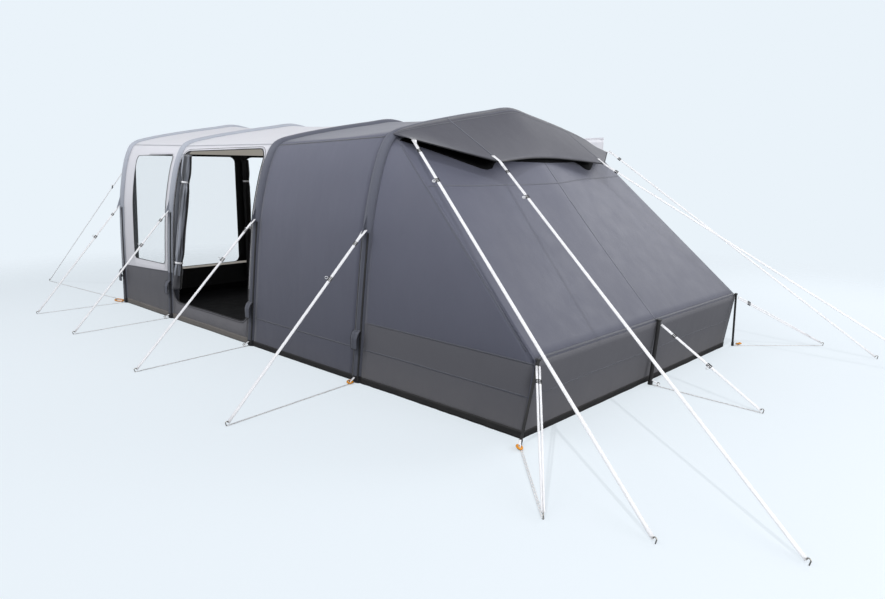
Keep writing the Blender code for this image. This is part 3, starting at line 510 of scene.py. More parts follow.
# ---------------------------------------------------------------------------------------------
# Groundsheet: a sewn-in tray of black reinforced polyethylene, 80 mm up the walls all round, and
# slightly rumpled over its floor.
HALF_WIDTH, FRONT_X, REAR_X = 1.538, -2.976, 2.980
BEAM_RADIUS, SHEET_EDGE, TRAY_UPSTAND, TRAY_CLOTH = 0.055, 0.1116, 0.080, 0.003
MIDDLE = Vector((0, 0, 0.5))  # inside the tent: a panel's outer face looks away from it

cloth_group, into, out = group(
    "woven_cloth",
    [("Colour", "NodeSocketColor", (0.2, 0.2, 0.2, 1)), ("Thread", "NodeSocketFloat", 900.0),
     ("Crease", "NodeSocketFloat", 1.0), ("Mottle", "NodeSocketFloat", 0.10), ("Fade", "NodeSocketFloat", 0.0)],
    [("Colour", "NodeSocketColor"), ("Roughness", "NodeSocketFloat"), ("Height", "NodeSocketFloat")])
tree = cloth_group
place_of, xyz = split_place(tree, "UV")
warp = maths(tree, "SINE", maths(tree, "MULTIPLY", xyz["X"], into.outputs["Thread"]))
weft = maths(tree, "SINE", maths(tree, "MULTIPLY", xyz["Y"], into.outputs["Thread"]))
weave = maths(tree, "MULTIPLY", warp, weft)
stretched = tree.nodes.new("ShaderNodeMapping")
stretched.inputs["Scale"].default_value = (1.0, 1.0, 0.35)
stretched.inputs["Rotation"].default_value = (0.5, 0.25, 0.0)
tree.links.new(place_of.outputs["Object"], stretched.inputs["Vector"])
broad = noise_at(tree, stretched.outputs["Vector"], 1.6, 4.0, 0.5)
fine = noise_at(tree, stretched.outputs["Vector"], 9.0, 5.0, 0.55)
cloud = noise_at(tree, place_of.outputs["Object"], 2.3, 3.0)
speck = noise_at(tree, place_of.outputs["Object"], 260.0, 2.0)
crease = maths(tree, "ADD", maths(tree, "MULTIPLY", broad, 1.0), maths(tree, "MULTIPLY", fine, 0.16))
height = maths(tree, "ADD", maths(tree, "MULTIPLY", crease, into.outputs["Crease"]),
               maths(tree, "MULTIPLY", weave, 0.004))
tree.links.new(height, out.inputs["Height"])
lift = maths(tree, "ADD", maths(tree, "MULTIPLY", maths(tree, "SUBTRACT", cloud, 0.5), into.outputs["Mottle"]),
             maths(tree, "MULTIPLY", maths(tree, "SUBTRACT", speck, 0.5), 0.12))
lift = maths(tree, "ADD", lift, maths(tree, "MULTIPLY", weave, 0.02))
# Painted light and shade by height: the colour is scaled up above 1 m and down below it, by the amount given.
upwards = tree.nodes.new("ShaderNodeSeparateXYZ")
tree.links.new(place_of.outputs["Object"], upwards.inputs[0])
painted_height_light = maths(tree, "MULTIPLY", maths(tree, "SUBTRACT", upwards.outputs["Z"], 1.0), into.outputs["Fade"])
lift = maths(tree, "ADD", maths(tree, "ADD", lift, painted_height_light), 1.0)
tinted = tree.nodes.new("ShaderNodeVectorMath")
tinted.operation = "SCALE"
tree.links.new(into.outputs["Colour"], tinted.inputs[0])
tree.links.new(lift, tinted.inputs["Scale"])
tree.links.new(tinted.outputs[0], out.inputs["Colour"])
tree.links.new(maths(tree, "ADD", maths(tree, "MULTIPLY", fine, 0.22), 0.46), out.inputs["Roughness"])

dust_group, into, out = group(
    "ground_dust", [("Colour", "NodeSocketColor", (0.2, 0.2, 0.2, 1)), ("Reach", "NodeSocketFloat", 0.15),
                    ("Amount", "NodeSocketFloat", 0.35)], [("Colour", "NodeSocketColor")])
tree = dust_group
place_of, xyz = split_place(tree, "Object")
low = maths(tree, "SUBTRACT", 1.0, maths(tree, "DIVIDE", xyz["Z"], into.outputs["Reach"]))
low = maths(tree, "MAXIMUM", low, 0.0)
patch = noise_at(tree, place_of.outputs["Object"], 7.0, 6.0, 0.65)
dust = maths(tree, "MULTIPLY", maths(tree, "MULTIPLY", low, patch), into.outputs["Amount"])
tree.links.new(mixed(tree, dust, into.outputs["Colour"], (0.34, 0.31, 0.27, 1)), out.inputs["Colour"])


def fabric(name, colour, crease=1.0, mottle=0.10, dust=0.0, sheen=0.25, painted_glow=None, thread=5200.0, gloss=0.35,
           depth=0.012, fade=0.0):
    """Coated polyester of a colour: weave, soft creases, mottling, painted light and shade that make it lighter above 1
    m and darker below it by fade, and dust below. A glow, where given, is painted light: the cloth glows in its own
    colour.
    """
    made, tree, shader = principled(name, 0.6, Sheen_Weight=sheen, Sheen_Roughness=0.45, Specular_IOR_Level=gloss)
    weave = use(tree, cloth_group, Colour=(*colour, 1), Thread=thread, Crease=crease, Mottle=mottle, Fade=fade)
    finish = weave.outputs["Colour"]
    if dust:
        soiled = use(tree, dust_group, Reach=0.30, Amount=dust)
        tree.links.new(finish, soiled.inputs["Colour"])
        finish = soiled.outputs["Colour"]
    tree.links.new(finish, shader.inputs["Base Color"])
    # A painted glow: the cloth's own colour given out as light.
    if painted_glow:
        tree.links.new(finish, shader.inputs["Emission Color"])
        shader.inputs["Emission Strength"].default_value = painted_glow
    tree.links.new(weave.outputs["Roughness"], shader.inputs["Roughness"])
    bumped(tree, shader, weave.outputs["Height"], 1.0, depth)
    return made


BLACK_SHEET = fabric("groundsheet_black", (0.0022, 0.0022, 0.0028), sheen=0.0, thread=2600.0, gloss=0.04)
TRAY_ALONG, TRAY_ACROSS, TRAY_RIM, TRAY_RUMPLE = 40, 20, 0.02, 0.004


def sliced(bm, axis, places):
    """Cuts a mesh square to an axis at each of the places, so that it can bend there."""
    for place in places:
        at, normal = [0, 0, 0], [0, 0, 0]
        at[axis], normal[axis] = place, 1
        bmesh.ops.bisect_plane(bm, geom=bm.verts[:] + bm.edges[:] + bm.faces[:], plane_co=at, plane_no=normal)


def shares(low, high, count):
    """The places that cut a length into count equal parts."""
    return [low + (high - low) * n / count for n in range(1, count)]


bm = bmesh.new()
bmesh.ops.create_cube(bm, size=2)
tray_half, tray_front, tray_rear = HALF_WIDTH - SHEET_EDGE, FRONT_X + 0.0016, REAR_X - 0.0006
for v in bm.verts:
    v.co = (tray_rear if v.co.x > 0 else tray_front, tray_half * v.co.y, TRAY_UPSTAND if v.co.z > 0 else TRAY_CLOTH)
bmesh.ops.delete(bm, geom=[f for f in bm.faces if f.normal.z > 0.5], context="FACES_ONLY")
sliced(bm, 0, shares(tray_front, tray_rear, TRAY_ALONG))
sliced(bm, 1, shares(-tray_half, tray_half, TRAY_ACROSS))
for v in bm.verts:
    rim = min(abs(v.co.x - tray_front), abs(v.co.x - tray_rear), abs(abs(v.co.y) - tray_half))
    if rim > TRAY_RIM and v.co.z < TRAY_CLOTH + 0.001:
        v.co.z += TRAY_RUMPLE * max(0, noise.noise(Vector((v.co.x * 2.3, v.co.y * 2.3, 4.0))))
layer = bm.loops.layers.uv.new("UVMap")
for face in bm.faces:
    for loop in face.loops:
        loop[layer].uv = (loop.vert.co.x + loop.vert.co.z, loop.vert.co.y + loop.vert.co.z)
tray = piece("groundsheet_tray", bm, BLACK_SHEET, smooth=False)
wall = tray.modifiers.new("sheet", "SOLIDIFY")
wall.thickness, wall.offset, wall.use_even_offset = TRAY_CLOTH, -1, True
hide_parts("groundsheet")

# ---------------------------------------------------------------------------------------------
# Air beams: four welded TPU tubes, each inside a zipped polyester sleeve. The two front sleeves
# are pale grey and the two rear ones charcoal. A valve and a guy patch sit on each near leg.
ARCH_SHARES = ((1.000, 0.000), (1.000, 0.030), (0.976, 0.540), (0.942, 0.710), (0.902, 0.815),
               (0.850, 0.875), (0.740, 0.905), (0.450, 0.948), (0.180, 0.981), (0.000, 1.000))
ARCHES = {"a": (FRONT_X, 2.152, 0.030), "b": (-1.753, 2.108, 0.156), "c": (-0.107, 2.077, 0.250),
          "d": (1.424, 2.100, 0.200)}
LEG_STATION, SHOULDER, LAST, FINE = 1, 5, 18, 8


def smooth_arch(arch):
    """The arch's outer line through its stations as (y, z), with FINE points to each part."""
    height = ARCHES[arch][1]
    half = [Vector((-y * HALF_WIDTH, z * height)) for y, z in ARCH_SHARES]
    return curved(half + [Vector((-p.x, p.y)) for p in reversed(half[:-1])], FINE)


ARCH_LINES = {arch: smooth_arch(arch) for arch in ARCHES}
ARCH_WAYS = {arch: [way.normalized() for way in ways_along(line)] for arch, line in ARCH_LINES.items()}


def lean_x(arch, z):
    """Where the leaning arch's plane is at a height."""
    foot_x, height, lean = ARCHES[arch]
    start = ARCH_SHARES[LEG_STATION][1] * height
    return foot_x + lean * max(z - start, 0) / (height - start)


def arch_at(arch, t, inset=0.0, shift=0.0):
    """The arch's line at station t (0 near foot, 18 far foot), moved inwards and square to its plane."""
    foot_x, height, lean = ARCHES[arch]
    line, ways = ARCH_LINES[arch], ARCH_WAYS[arch]
    place = min(max(t * FINE, 0), len(line) - 1)
    i = min(int(place), len(line) - 2)
    point, along = line[i].lerp(line[i + 1], place - i), ways[i].lerp(ways[i + 1], place - i).normalized()
    y, z = point.x + along.y * inset, max(point.y - along.x * inset, 0)
    square = Vector((height * (1 - ARCH_SHARES[LEG_STATION][1]), 0, -lean)).normalized() * shift
    point = Vector((lean_x(arch, z), y, z)) + square
    return Vector((point.x, point.y, max(point.z, 0)))


def station_at(arch, z, inset=0.0, shift=0.0):
    """The near-side station at which the moved line is at a height."""
    low, high = 0.0, 9.0
    for _ in range(24):
        middle = (low + high) / 2
        if arch_at(arch, middle, inset, shift).z < z:
            low = middle
        else:
            high = middle
    return (low + high) / 2


# The fade values paint light and shade by height: each cloth is lighter above 1 m and darker below it, the pale sleeves
# most of all.
PALE = fabric("pale_grey_cloth", (0.67, 0.67, 0.71), crease=0.8, mottle=0.06, dust=0.15, fade=0.12)
DARK = fabric("charcoal_cloth", (0.103, 0.108, 0.146), crease=0.9, mottle=0.14, dust=0.10, fade=0.28)
SLEEVE_PALE = fabric("pale_sleeve_cloth", (0.32, 0.34, 0.385), crease=0.5, mottle=0.10, fade=0.42)
SLEEVE_DARK = fabric("charcoal_sleeve_cloth", (0.095, 0.101, 0.130), crease=0.5, mottle=0.12, fade=0.25)
LINING_DARK = fabric("charcoal_lining", (0.007, 0.007, 0.008), crease=0.6, sheen=0.0, gloss=0.2)
# The beige lining glows in its own colour: painted light that stands in for daylight coming through the pale cloth.
PAINTED_GLOW_LINING = fabric("beige_lining_painted_glow", (0.60, 0.57, 0.52), crease=0.6, painted_glow=0.30)
BLACK_TAPE = fabric("black_tape", (0.012, 0.012, 0.014), crease=0.2, mottle=0.2, sheen=0.1, thread=9000.0)
BLADDER, tree, shader, haze = speckled("welded_film", 0.25, 7.0, 4.0, (0.54, 0.58, 0.62), (0.68, 0.72, 0.76),
                                       Coat_Weight=0.3)
bumped(tree, shader, haze, 0.3, 0.002)
SLEEVE_AROUND, SLEEVE_ALONG, TUBE_AROUND, TUBE_GAP = 28, 5 * LAST, 20, 0.004


def swept(name, centre, radius, around, finishes):
    """A round skin along a line of points that lies in a leaning plane."""
    bm = bmesh.new()
    bmesh.ops.create_grid(bm, x_segments=around, y_segments=len(centre) - 1, size=1)
    layer = bm.loops.layers.uv.new("UVMap")
    last, run, ways = len(centre) - 1, run_along(centre), ways_along(centre)
    for face in bm.faces:
        for loop in face.loops:
            j = round((loop.vert.co.y + 1) / 2 * last)
            loop[layer].uv = ((loop.vert.co.x + 1) / 2 * math.tau * radius, run[j])
    for v in bm.verts:
        j = round((v.co.y + 1) / 2 * last)
        turn = (v.co.x + 1) / 2 * math.tau
        way = ways[j].normalized()
        flat = Vector((1, 0, 0))
        flat = (flat - way * flat.dot(way)).normalized()
        v.co = centre[j] + (flat * math.cos(turn) + way.cross(flat) * math.sin(turn)) * radius
        v.co.z = max(v.co.z, 0)
    bmesh.ops.remove_doubles(bm, verts=bm.verts, dist=0.0002)
    bmesh.ops.recalc_face_normals(bm, faces=bm.faces)
    return piece(name, bm, *finishes)


def banded(obj, points, index):
    """Gives the faces below the line through two points a finish of their own."""
    a, b = points
    bm = bmesh.new()
    bm.from_mesh(obj.data)
    normal = (b - a).cross(Vector((0, 1, 0)))
    if normal.z < 0:
        normal = -normal
    bmesh.ops.bisect_plane(bm, geom=bm.verts[:] + bm.edges[:] + bm.faces[:], plane_co=a, plane_no=normal)
    for face in bm.faces:
        if (face.calc_center_median() - a).dot(normal) < 0:
            face.material_index = index
    bm.to_mesh(obj.data)
    bm.free()


BAND_HEIGHTS = {"a": 0.458, "b": 0.500, "c": 0.520, "d": 0.266}
for arch, (foot_x, height, lean) in ARCHES.items():
    pale = arch in "ab"
    centre = [arch_at(arch, LAST * i / SLEEVE_ALONG, BEAM_RADIUS) for i in range(SLEEVE_ALONG + 1)]
    centre[0].z = centre[-1].z = 0.0
    sleeve = swept("sleeve_" + arch, centre, BEAM_RADIUS, SLEEVE_AROUND, [SLEEVE_PALE if pale else SLEEVE_DARK])
    if pale:
        sleeve.data.materials.append(SLEEVE_DARK)
        band = Vector((foot_x, 0, BAND_HEIGHTS[arch]))
        banded(sleeve, (band, band + Vector((1, 0, 0))), 1)
    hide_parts("beam_sleeve_" + arch)
    tube = swept("air_tube_" + arch + "_film", centre, BEAM_RADIUS - TUBE_GAP, TUBE_AROUND, [BLADDER])
    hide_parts("air_tube_" + arch)


def on_cloth(place, u, v, inside, lift=0.0026):
    """A point just outside a panel, and the way that the panel faces there."""
    step = 0.004
    across = place(min(u + step, 1), v) - place(max(u - step, 0), v)
    along = place(u, min(v + step, 1)) - place(u, max(v - step, 0))
    out, point = across.cross(along).normalized(), place(u, v)
    if out.dot(point - inside) < 0:
        out = -out
    return point + out * lift, out


STITCH_HALF, STITCH_GAP = 0.0006, -0.35


def stitched(name, colour, thread_colour, rows=(0.0022, 0.0088), pitch=0.005):
    """A seam strip's finish, with two rows of stitches along it."""
    made, tree, shader = principled(name, 0.62, Sheen_Weight=0.2)
    weave = use(tree, cloth_group, Colour=(*colour, 1), Crease=0.3, Mottle=0.1)
    xyz = split_place(tree, "UV")[1]
    half = (rows[1] - rows[0]) / 2
    row = maths(tree, "ABSOLUTE", maths(tree, "SUBTRACT", xyz["X"], rows[0] + half))
    row = maths(tree, "LESS_THAN", maths(tree, "ABSOLUTE", maths(tree, "SUBTRACT", row, half)), STITCH_HALF)
    dash = maths(tree, "SINE", maths(tree, "MULTIPLY", xyz["Y"], math.tau / pitch))
    stitch = maths(tree, "MULTIPLY", row, maths(tree, "GREATER_THAN", dash, STITCH_GAP))
    tree.links.new(mixed(tree, stitch, weave.outputs["Colour"], (*thread_colour, 1)), shader.inputs["Base Color"])
    bumped(tree, shader, stitch, 0.6, 0.0005)
    return made


SEAM_DARK = stitched("charcoal_seam", (0.066, 0.070, 0.088), (0.15, 0.155, 0.18))
SEAM_QUIET = stitched("quiet_seam", (0.098, 0.104, 0.137), (0.14, 0.146, 0.175))
SEAM_PALE = stitched("pale_seam", (0.42, 0.43, 0.47), (0.62, 0.63, 0.66))
ZIP = stitched("zip_tape", (0.010, 0.010, 0.011), (0.05, 0.05, 0.055), rows=(0.0056, 0.0084), pitch=0.0026)
ORANGE = speckled("orange_rubber", 0.5, 220.0, 3.0, (0.95, 0.40, 0.02), (0.78, 0.27, 0.012))[0]
SEAM_WIDTH, SEAM_THICKNESS = 0.011, 0.0009
LOOP_LINE = ((0.0, 0.042), (0.026, 0.030), (0.052, 0.016), (0.060, 0.009), (0.050, 0.004), (0.020, 0.003))
LOOP_WIDTH, LOOP_PEG = 0.018, 0.056
RING_OUT, RING_UP, RING_TILT, RING_HALF, RING_WIDE, RING_CORD = 0.048, 0.018, 0.006, 0.022, 0.015, 0.0070


def seam(name, place, way, inside, finish, width=SEAM_WIDTH):
    """A stitched strip over a panel, along way, a list of (u, v)."""
    line = [on_cloth(place, u, v, inside) for u, v in way]
    return undeclared(strap(name, [point for point, _ in line], width, finish, [out for _, out in line],
                            len(line) - 1, SEAM_THICKNESS))


def pegged_loop(name, at, out, ring, reach=0.0):
    """A webbing loop at a foot, held down by a steel peg, some by way of an orange rubber ring."""
    at, out, up = Vector((*at, 0)), Vector(out).normalized(), Vector((0, 0, 1))
    side = Vector((out.y, -out.x, 0))
    points = [at + out * away + up * height for away, height in LOOP_LINE]
    undeclared(strap("loop_" + name, points, LOOP_WIDTH, WHITE_WEBBING,
                     [side.cross(way).normalized() for way in ways_along(points)], 20))
    peg("foot_peg_" + name, (at + out * (LOOP_PEG + reach)).xy, -out)
    if ring:
        centre, half = at + out * (RING_OUT + reach / 2) + up * RING_UP, RING_HALF + reach / 2
        line = [centre + out * math.cos(a) * half + side * math.sin(a) * (RING_WIDE + reach * 0.1) +
                up * math.sin(a) * RING_TILT for a in [math.tau * i / 28 for i in range(28)]]
        rods("ring_" + name, [(line, RING_CORD)], ORANGE, closed=True)


PIPING_RADIUS, PIPING_INSET, PIPING_SIDE, PIPING_END = 0.0030, 0.0242, 0.0495, 0.04
ZIP_FOOT, ZIP_TOP, ZIP_TURN, ZIP_WIDTH, CUFF_HEIGHT, CUFF_CLOTH = 0.35, 1.14, 0.095, 0.014, 0.055, 0.0012
FRONT_FOOT_REACH = 0.110
FIN_FOOT, FIN_TALL, FIN_REACH, FIN_CLOTH, FIN_INSET, FIN_LIFT, FIN_BEND = 1.166, 0.105, 0.046, 0.004, 0.0010, 0.006, 0.9
TAB_PLACES, TAB_WIDTHS, TAB_THICKNESS = (0.002, 0.030, 0.070, 0.115), [0.074, 0.066, 0.044, 0.021], 0.0022
for arch, (foot_x, height, lean) in ARCHES.items():
    sleeve_cloth = SLEEVE_PALE if arch in "ab" else SLEEVE_DARK
    stations = [PIPING_END + (LAST - 2 * PIPING_END) * i / SLEEVE_ALONG for i in range(SLEEVE_ALONG + 1)]
    rods("piping_" + arch, [([arch_at(arch, t, PIPING_INSET, side * PIPING_SIDE) for t in stations], PIPING_RADIUS)
                            for side in (-1, 1)], sleeve_cloth, sides=2)

    def sleeve_at(u, v):
        """A point of the sleeve: u turns round it from its outer line, v is the station share."""
        turn = u * math.tau
        return arch_at(arch, v * LAST, BEAM_RADIUS * (1 - math.cos(turn)), BEAM_RADIUS * math.sin(turn))

    for word, start, way in (("near", 0, 1), ("far", LAST, -1)):
        top = station_at(arch, ZIP_TOP)
        for turn, hand in ((ZIP_TURN, "rear"), (-ZIP_TURN, "front")):
            line = [(turn, (start + way * (ZIP_FOOT + (top - ZIP_FOOT) * i / 24)) / LAST) for i in range(25)]
            seam(f"zip_{arch}_{word}_{hand}", sleeve_at, line, Vector((foot_x, 0, 0.6)), ZIP, ZIP_WIDTH)
        foot = arch_at(arch, start, BEAM_RADIUS)
        swept(f"cuff_{arch}_{word}", [Vector((foot.x, foot.y, z)) for z in (0.0, CUFF_HEIGHT)],
              BEAM_RADIUS + CUFF_CLOTH, SLEEVE_AROUND, [BLACK_TAPE])
        front_foot = arch == "a" and word == "near"
        pegged_loop(f"{arch}_{word}", (foot_x, -way * 1.5375), (-1, -0.25 * way, 0) if front_foot else (0.12, -way, 0),
                    arch in "ad", FRONT_FOOT_REACH if front_foot else 0.0)

    start, way, facing = guy_way["beam_" + arch]

    def fin_at(u, v):
        """A point of the doubled fin that carries the guy: u out from the sleeve, v up."""
        root = arch_at(arch, station_at(arch, FIN_FOOT + FIN_TALL * v), FIN_INSET)
        return root.lerp(start + way * FIN_REACH + Vector((0, 0, FIN_LIFT + FIN_LIFT * v)), u ** FIN_BEND)

    undeclared(cloth("guy_fin_" + arch, 8, 10, fin_at, FIN_CLOTH, sleeve_cloth, outwards=0))
    points = [start + way * place for place in TAB_PLACES]
    undeclared(strap("guy_tab_" + arch, points, TAB_WIDTHS, WHITE_WEBBING,
                     [run.cross(Vector((1, 0, 0.25))).normalized() for run in ways_along(points)], 16, TAB_THICKNESS))

# ---------------------------------------------------------------------------------------------
# Bay walls and flies: panels of coated polyester sewn between the sleeves. The two front bays are
# pale grey over a charcoal mud band, and the third bay is charcoal throughout.
PANEL_INSET, PANEL_SIDE, TUCK, CLOTH = 0.0272, 0.04815, 0.006, 0.002
ROOF_SAG, CLOTH_RIPPLE, PANEL_ACROSS, PANEL_FINE = 0.030, 0.006, 24, 4
BAYS = ((1, "a", "b"), (2, "b", "c"), (3, "c", "d"))
MUD = fabric("mud_band_cloth", (0.108, 0.108, 0.122), crease=0.5, mottle=0.12, dust=0.20, sheen=0.1)


def panel_at(front, rear, u, t, inset=PANEL_INSET):
    """A point of the cloth between two arches: u from the front arch to the rear one, t the station."""
    a = arch_at(front, t, inset, PANEL_SIDE - TUCK)
    b = arch_at(rear, t, inset, -(PANEL_SIDE - TUCK))
    point = a.lerp(b, u)
    roof = min(max((t - SHOULDER) / 1.5, 0), 1) * min(max((LAST - SHOULDER - t) / 1.5, 0), 1)
    drop = ROOF_SAG * 4 * u * (1 - u) * roof
    ripple = noise.noise(Vector((point.x * 1.7, point.y * 2.1, point.z * 1.3))) * CLOTH_RIPPLE * 4 * u * (1 - u)
    return point + Vector((0, ripple * (-1 if t < 9 else 1) * (1 - roof), -drop + ripple * roof))


def panel(name, front, rear, first, last, *finishes):
    """One sewn panel between two arches, from station first to station last."""
    along = round((last - first) * PANEL_FINE)
    return cloth(name, PANEL_ACROSS, along, lambda u, v: panel_at(front, rear, u, first + (last - first) * v),
                 CLOTH, *finishes, inside=Vector(((ARCHES[front][0] + ARCHES[rear][0]) / 2, 0, 0.6)))


def settle(obj):
    """Applies an object's modifiers to its mesh."""
    bpy.context.view_layer.update()
    graph = bpy.context.evaluated_depsgraph_get()
    made = bpy.data.meshes.new_from_object(obj.evaluated_get(graph), preserve_all_data_layers=True, depsgraph=graph)
    obj.modifiers.clear()
    obj.data = made
    return obj


def rounded(low, high, corner, sides=6):
    """A closed outline with rounded corners. low and high are (left x, right x, z)."""
    corners = [Vector((low[0], low[2])), Vector((low[1], low[2])),
               Vector((high[1], high[2])), Vector((high[0], high[2]))]
    line = []
    for i, point in enumerate(corners):
        before, after = corners[i - 1], corners[(i + 1) % 4]
        a = point + (before - point).normalized() * corner
        b = point + (after - point).normalized() * corner
        line += list(interpolate_bezier(a, a.lerp(point, 0.55), b.lerp(point, 0.55), b, sides + 1))
    return line


def carved(obj, line, axis, start, end, operation="DIFFERENCE"):
    """Cuts an opening, or all but it, through a wall that faces along an axis. line is its outline
    in the other two."""
    bm = bmesh.new()
    face = bm.faces.new([bm.verts.new((start, a, b) if axis == 0 else (a, start, b)) for a, b in line])
    made = bmesh.ops.extrude_face_region(bm, geom=[face])
    way = [0, 0, 0]
    way[axis] = end - start
    bmesh.ops.translate(bm, verts=[v for v in made["geom"] if isinstance(v, bmesh.types.BMVert)], vec=way)
    bmesh.ops.recalc_face_normals(bm, faces=bm.faces)
    mesh = bpy.data.meshes.new("knife")
    bm.to_mesh(mesh)
    bm.free()
    knife = bpy.data.objects.new("knife", mesh)
    bpy.context.scene.collection.objects.link(knife)
    opening = obj.modifiers.new("cut", "BOOLEAN")
    opening.object, opening.operation, opening.solver = knife, operation, "EXACT"
    settle(obj)
    bpy.data.objects.remove(knife)


def side_x(front, rear, margins, z):
    """The two x values of an opening between two leaning arches at a height, and that height."""
    return (lean_x(front, z) + PANEL_SIDE + margins[0], lean_x(rear, z) - PANEL_SIDE - margins[1], z)


WINDOW = rounded(side_x("a", "b", (0.275, 0.085), 0.575), side_x("a", "b", (0.245, 0.085), 1.730), 0.050)
DOOR = rounded(side_x("b", "c", (0.030, 0.030), 0.200), side_x("b", "c", (0.030, 0.030), 1.760), 0.125)
PASSAGE = rounded(side_x("b", "c", (0.150, 0.150), 0.090), side_x("b", "c", (0.150, 0.150), 1.700), 0.125)
WALL_FROM, WALL_TO = 1.20, 1.75
walls = {}
for number, front, rear in BAYS:
    pale = number < 3
    finishes = (PALE, PAINTED_GLOW_LINING) if pale else (DARK, LINING_DARK)
    wall = panel(f"bay_{number}_wall_cloth", front, rear, 0, SHOULDER, *finishes)
    fly = panel(f"bay_{number}_fly_cloth", front, rear, SHOULDER, LAST, *finishes)
    walls[number] = (wall, fly)
    for obj, node in ((wall, "near_wall"), (fly, "fly")):
        settle(obj)
        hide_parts(f"bay_{number}_{node}")
        if pale:
            obj.data.materials.append(MUD)
            banded(obj, [Vector((ARCHES[arch][0], 0, BAND_HEIGHTS[arch])) for arch in (front, rear)], 2)
carved(walls[1][0], WINDOW, 1, -WALL_FROM, -WALL_TO)
carved(walls[2][0], DOOR, 1, -WALL_FROM, -WALL_TO)
carved(walls[2][1], PASSAGE, 1, WALL_FROM, WALL_TO)


def outlined(name, line, surface, radius, finish=BLACK_TAPE, step=0.04):
    """Piping round an opening. surface(x or y, z) gives its place on the cloth."""
    even = []
    for a, b in zip(line, line[1:] + line[:1]):
        parts = max(1, round((b - a).length / step))
        even += [a.lerp(b, i / parts) for i in range(parts)]
    return rods(name, [([surface(*p) for p in even], radius)], finish, closed=True, sides=2)


def near_wall_surface(front, rear, lift=0.0022):
    """Where the outer face of a near wall is at an x and a height."""
    def surface(x, z):
        u, t = 0.5, 2.5
        for _ in range(5):
            low, high = 0.0, SHOULDER
            for _ in range(18):
                t = (low + high) / 2
                if panel_at(front, rear, u, t).z < z:
                    low = t
                else:
                    high = t
            first, second = panel_at(front, rear, 0, t).x, panel_at(front, rear, 1, t).x
            u = min(max((x - first) / (second - first), 0), 1)
        return panel_at(front, rear, u, t) + Vector((0, -CLOTH - lift + 0.001, 0))
    return surface


def at_height(place, height, count=24):
    """The line (u, v) on a panel at a height, or at heights that change along it."""
    line = []
    for i in range(count + 1):
        u, low, high = i / count, 0.0, 1.0
        want = height[0] + (height[1] - height[0]) * u if isinstance(height, tuple) else height
        for _ in range(16):
            v = (low + high) / 2
            if place(u, v).z < want:
                low = v
            else:
                high = v
        line.append((u, v))
    return line


HEM_STEPS, HEM_OFF, HEM_FOLDS, HEM_FOOT, HEM_CLOTH = 40, 0.0045, (22, 1.5), 0.001, 0.0016


def hem(name, place, inside, height, finish, wave=0.004):
    """The skirt along the foot of a panel, standing off it in small folds."""
    top = at_height(place, height, HEM_STEPS)

    def hem_at(u, v):
        i = min(int(u * HEM_STEPS), HEM_STEPS - 1)
        share = top[i][1] + (top[i + 1][1] - top[i][1]) * (u * HEM_STEPS - i)
        wander = noise.noise(Vector((u * HEM_FOLDS[0], v * HEM_FOLDS[1], len(name))))
        fold = HEM_OFF + wave * (1 - v) * (0.5 + 0.5 * wander)
        point = on_cloth(place, u, share * v, inside, fold)[0]
        return Vector((point.x, point.y, max(point.z, HEM_FOOT)))
    return undeclared(cloth(name, 2 * HEM_STEPS, 4, hem_at, HEM_CLOTH, finish, inside=inside))


HEM_BLACK = fabric("black_hem", (0.006, 0.006, 0.007), crease=0.6, mottle=0.2, dust=0.06, sheen=0.0, gloss=0.4,
                   thread=2600.0)
SKIRT = fabric("mud_skirt", (0.115, 0.105, 0.098), crease=0.6, mottle=0.15, dust=0.4, sheen=0.1)
WINDOW_PIPING, DOOR_PIPING, COIL_RADIUS, COIL_STEP = 0.0028, 0.0042, 0.0020, 0.03
LOW_SEAM, SHOULDER_SEAM, PALE_HEM, DARK_HEM = 0.266, 0.985, 0.060, 0.050
outlined("window_piping", WINDOW, near_wall_surface("a", "b"), WINDOW_PIPING)
outlined("door_piping", DOOR, near_wall_surface("b", "c"), DOOR_PIPING)
door_zip = rounded(side_x("b", "c", (0.012, 0.012), 0.182), side_x("b", "c", (0.012, 0.012), 1.778), 0.135)
outlined("door_zip_coil", door_zip, near_wall_surface("b", "c"), COIL_RADIUS, step=COIL_STEP)
for number, front, rear in BAYS:
    pale = number < 3
    centre = Vector(((ARCHES[front][0] + ARCHES[rear][0]) / 2, 0, 0.6))
    for word in ("near", "far"):
        def place(u, v):
            """A point of this bay's lower wall on one side: u back along it, v up it."""
            return panel_at(front, rear, u, SHOULDER * v if word == "near" else LAST - SHOULDER * v)

        seam(f"shoulder_seam_{number}_{word}", place, [(i / 24, SHOULDER_SEAM) for i in range(25)], centre,
             SEAM_PALE if pale else SEAM_DARK)
        if number == 1:
            band_line = at_height(place, (BAND_HEIGHTS[front], BAND_HEIGHTS[rear]))
            seam(f"band_seam_{number}_{word}", place, band_line, centre, SEAM_DARK)
        if number == 3:
            seam(f"low_seam_{word}", place, at_height(place, LOW_SEAM), centre, SEAM_DARK)
        if number != 2 or word == "near":
            hem(f"hem_{number}_{word}", place, centre, PALE_HEM if pale else DARK_HEM, SKIRT if pale else HEM_BLACK)
sewn(walls[1][0])
undeclared(walls[2][0])
sewn(walls[3][0])
sewn(walls[1][1])
sewn(walls[2][1])
sewn(walls[3][1])

# ---------------------------------------------------------------------------------------------
# Clear windows: thin PVC film, one in the near wall of bay 1 and one in the front end wall. Each is
# welded to the cloth round its opening.
FILM, tree, shader = principled("clear_film", 0.10, Base_Color=(0.50, 0.56, 0.60, 1), Alpha=0.050,
                                Specular_IOR_Level=0.25)
place_of = tree.nodes.new("ShaderNodeTexCoord")
bumped(tree, shader, noise_at(tree, place_of.outputs["Object"], 3.0, 2.0), 0.3, 0.0015)
film = settle(panel("window_film", "a", "b", 0, SHOULDER, FILM))
inner = rounded(side_x("a", "b", (0.276, 0.086), 0.576), side_x("a", "b", (0.246, 0.086), 1.729), 0.050)
carved(film, inner, 1, -WALL_TO, -WALL_FROM, "INTERSECT")
undeclared(film)
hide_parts("near_window")

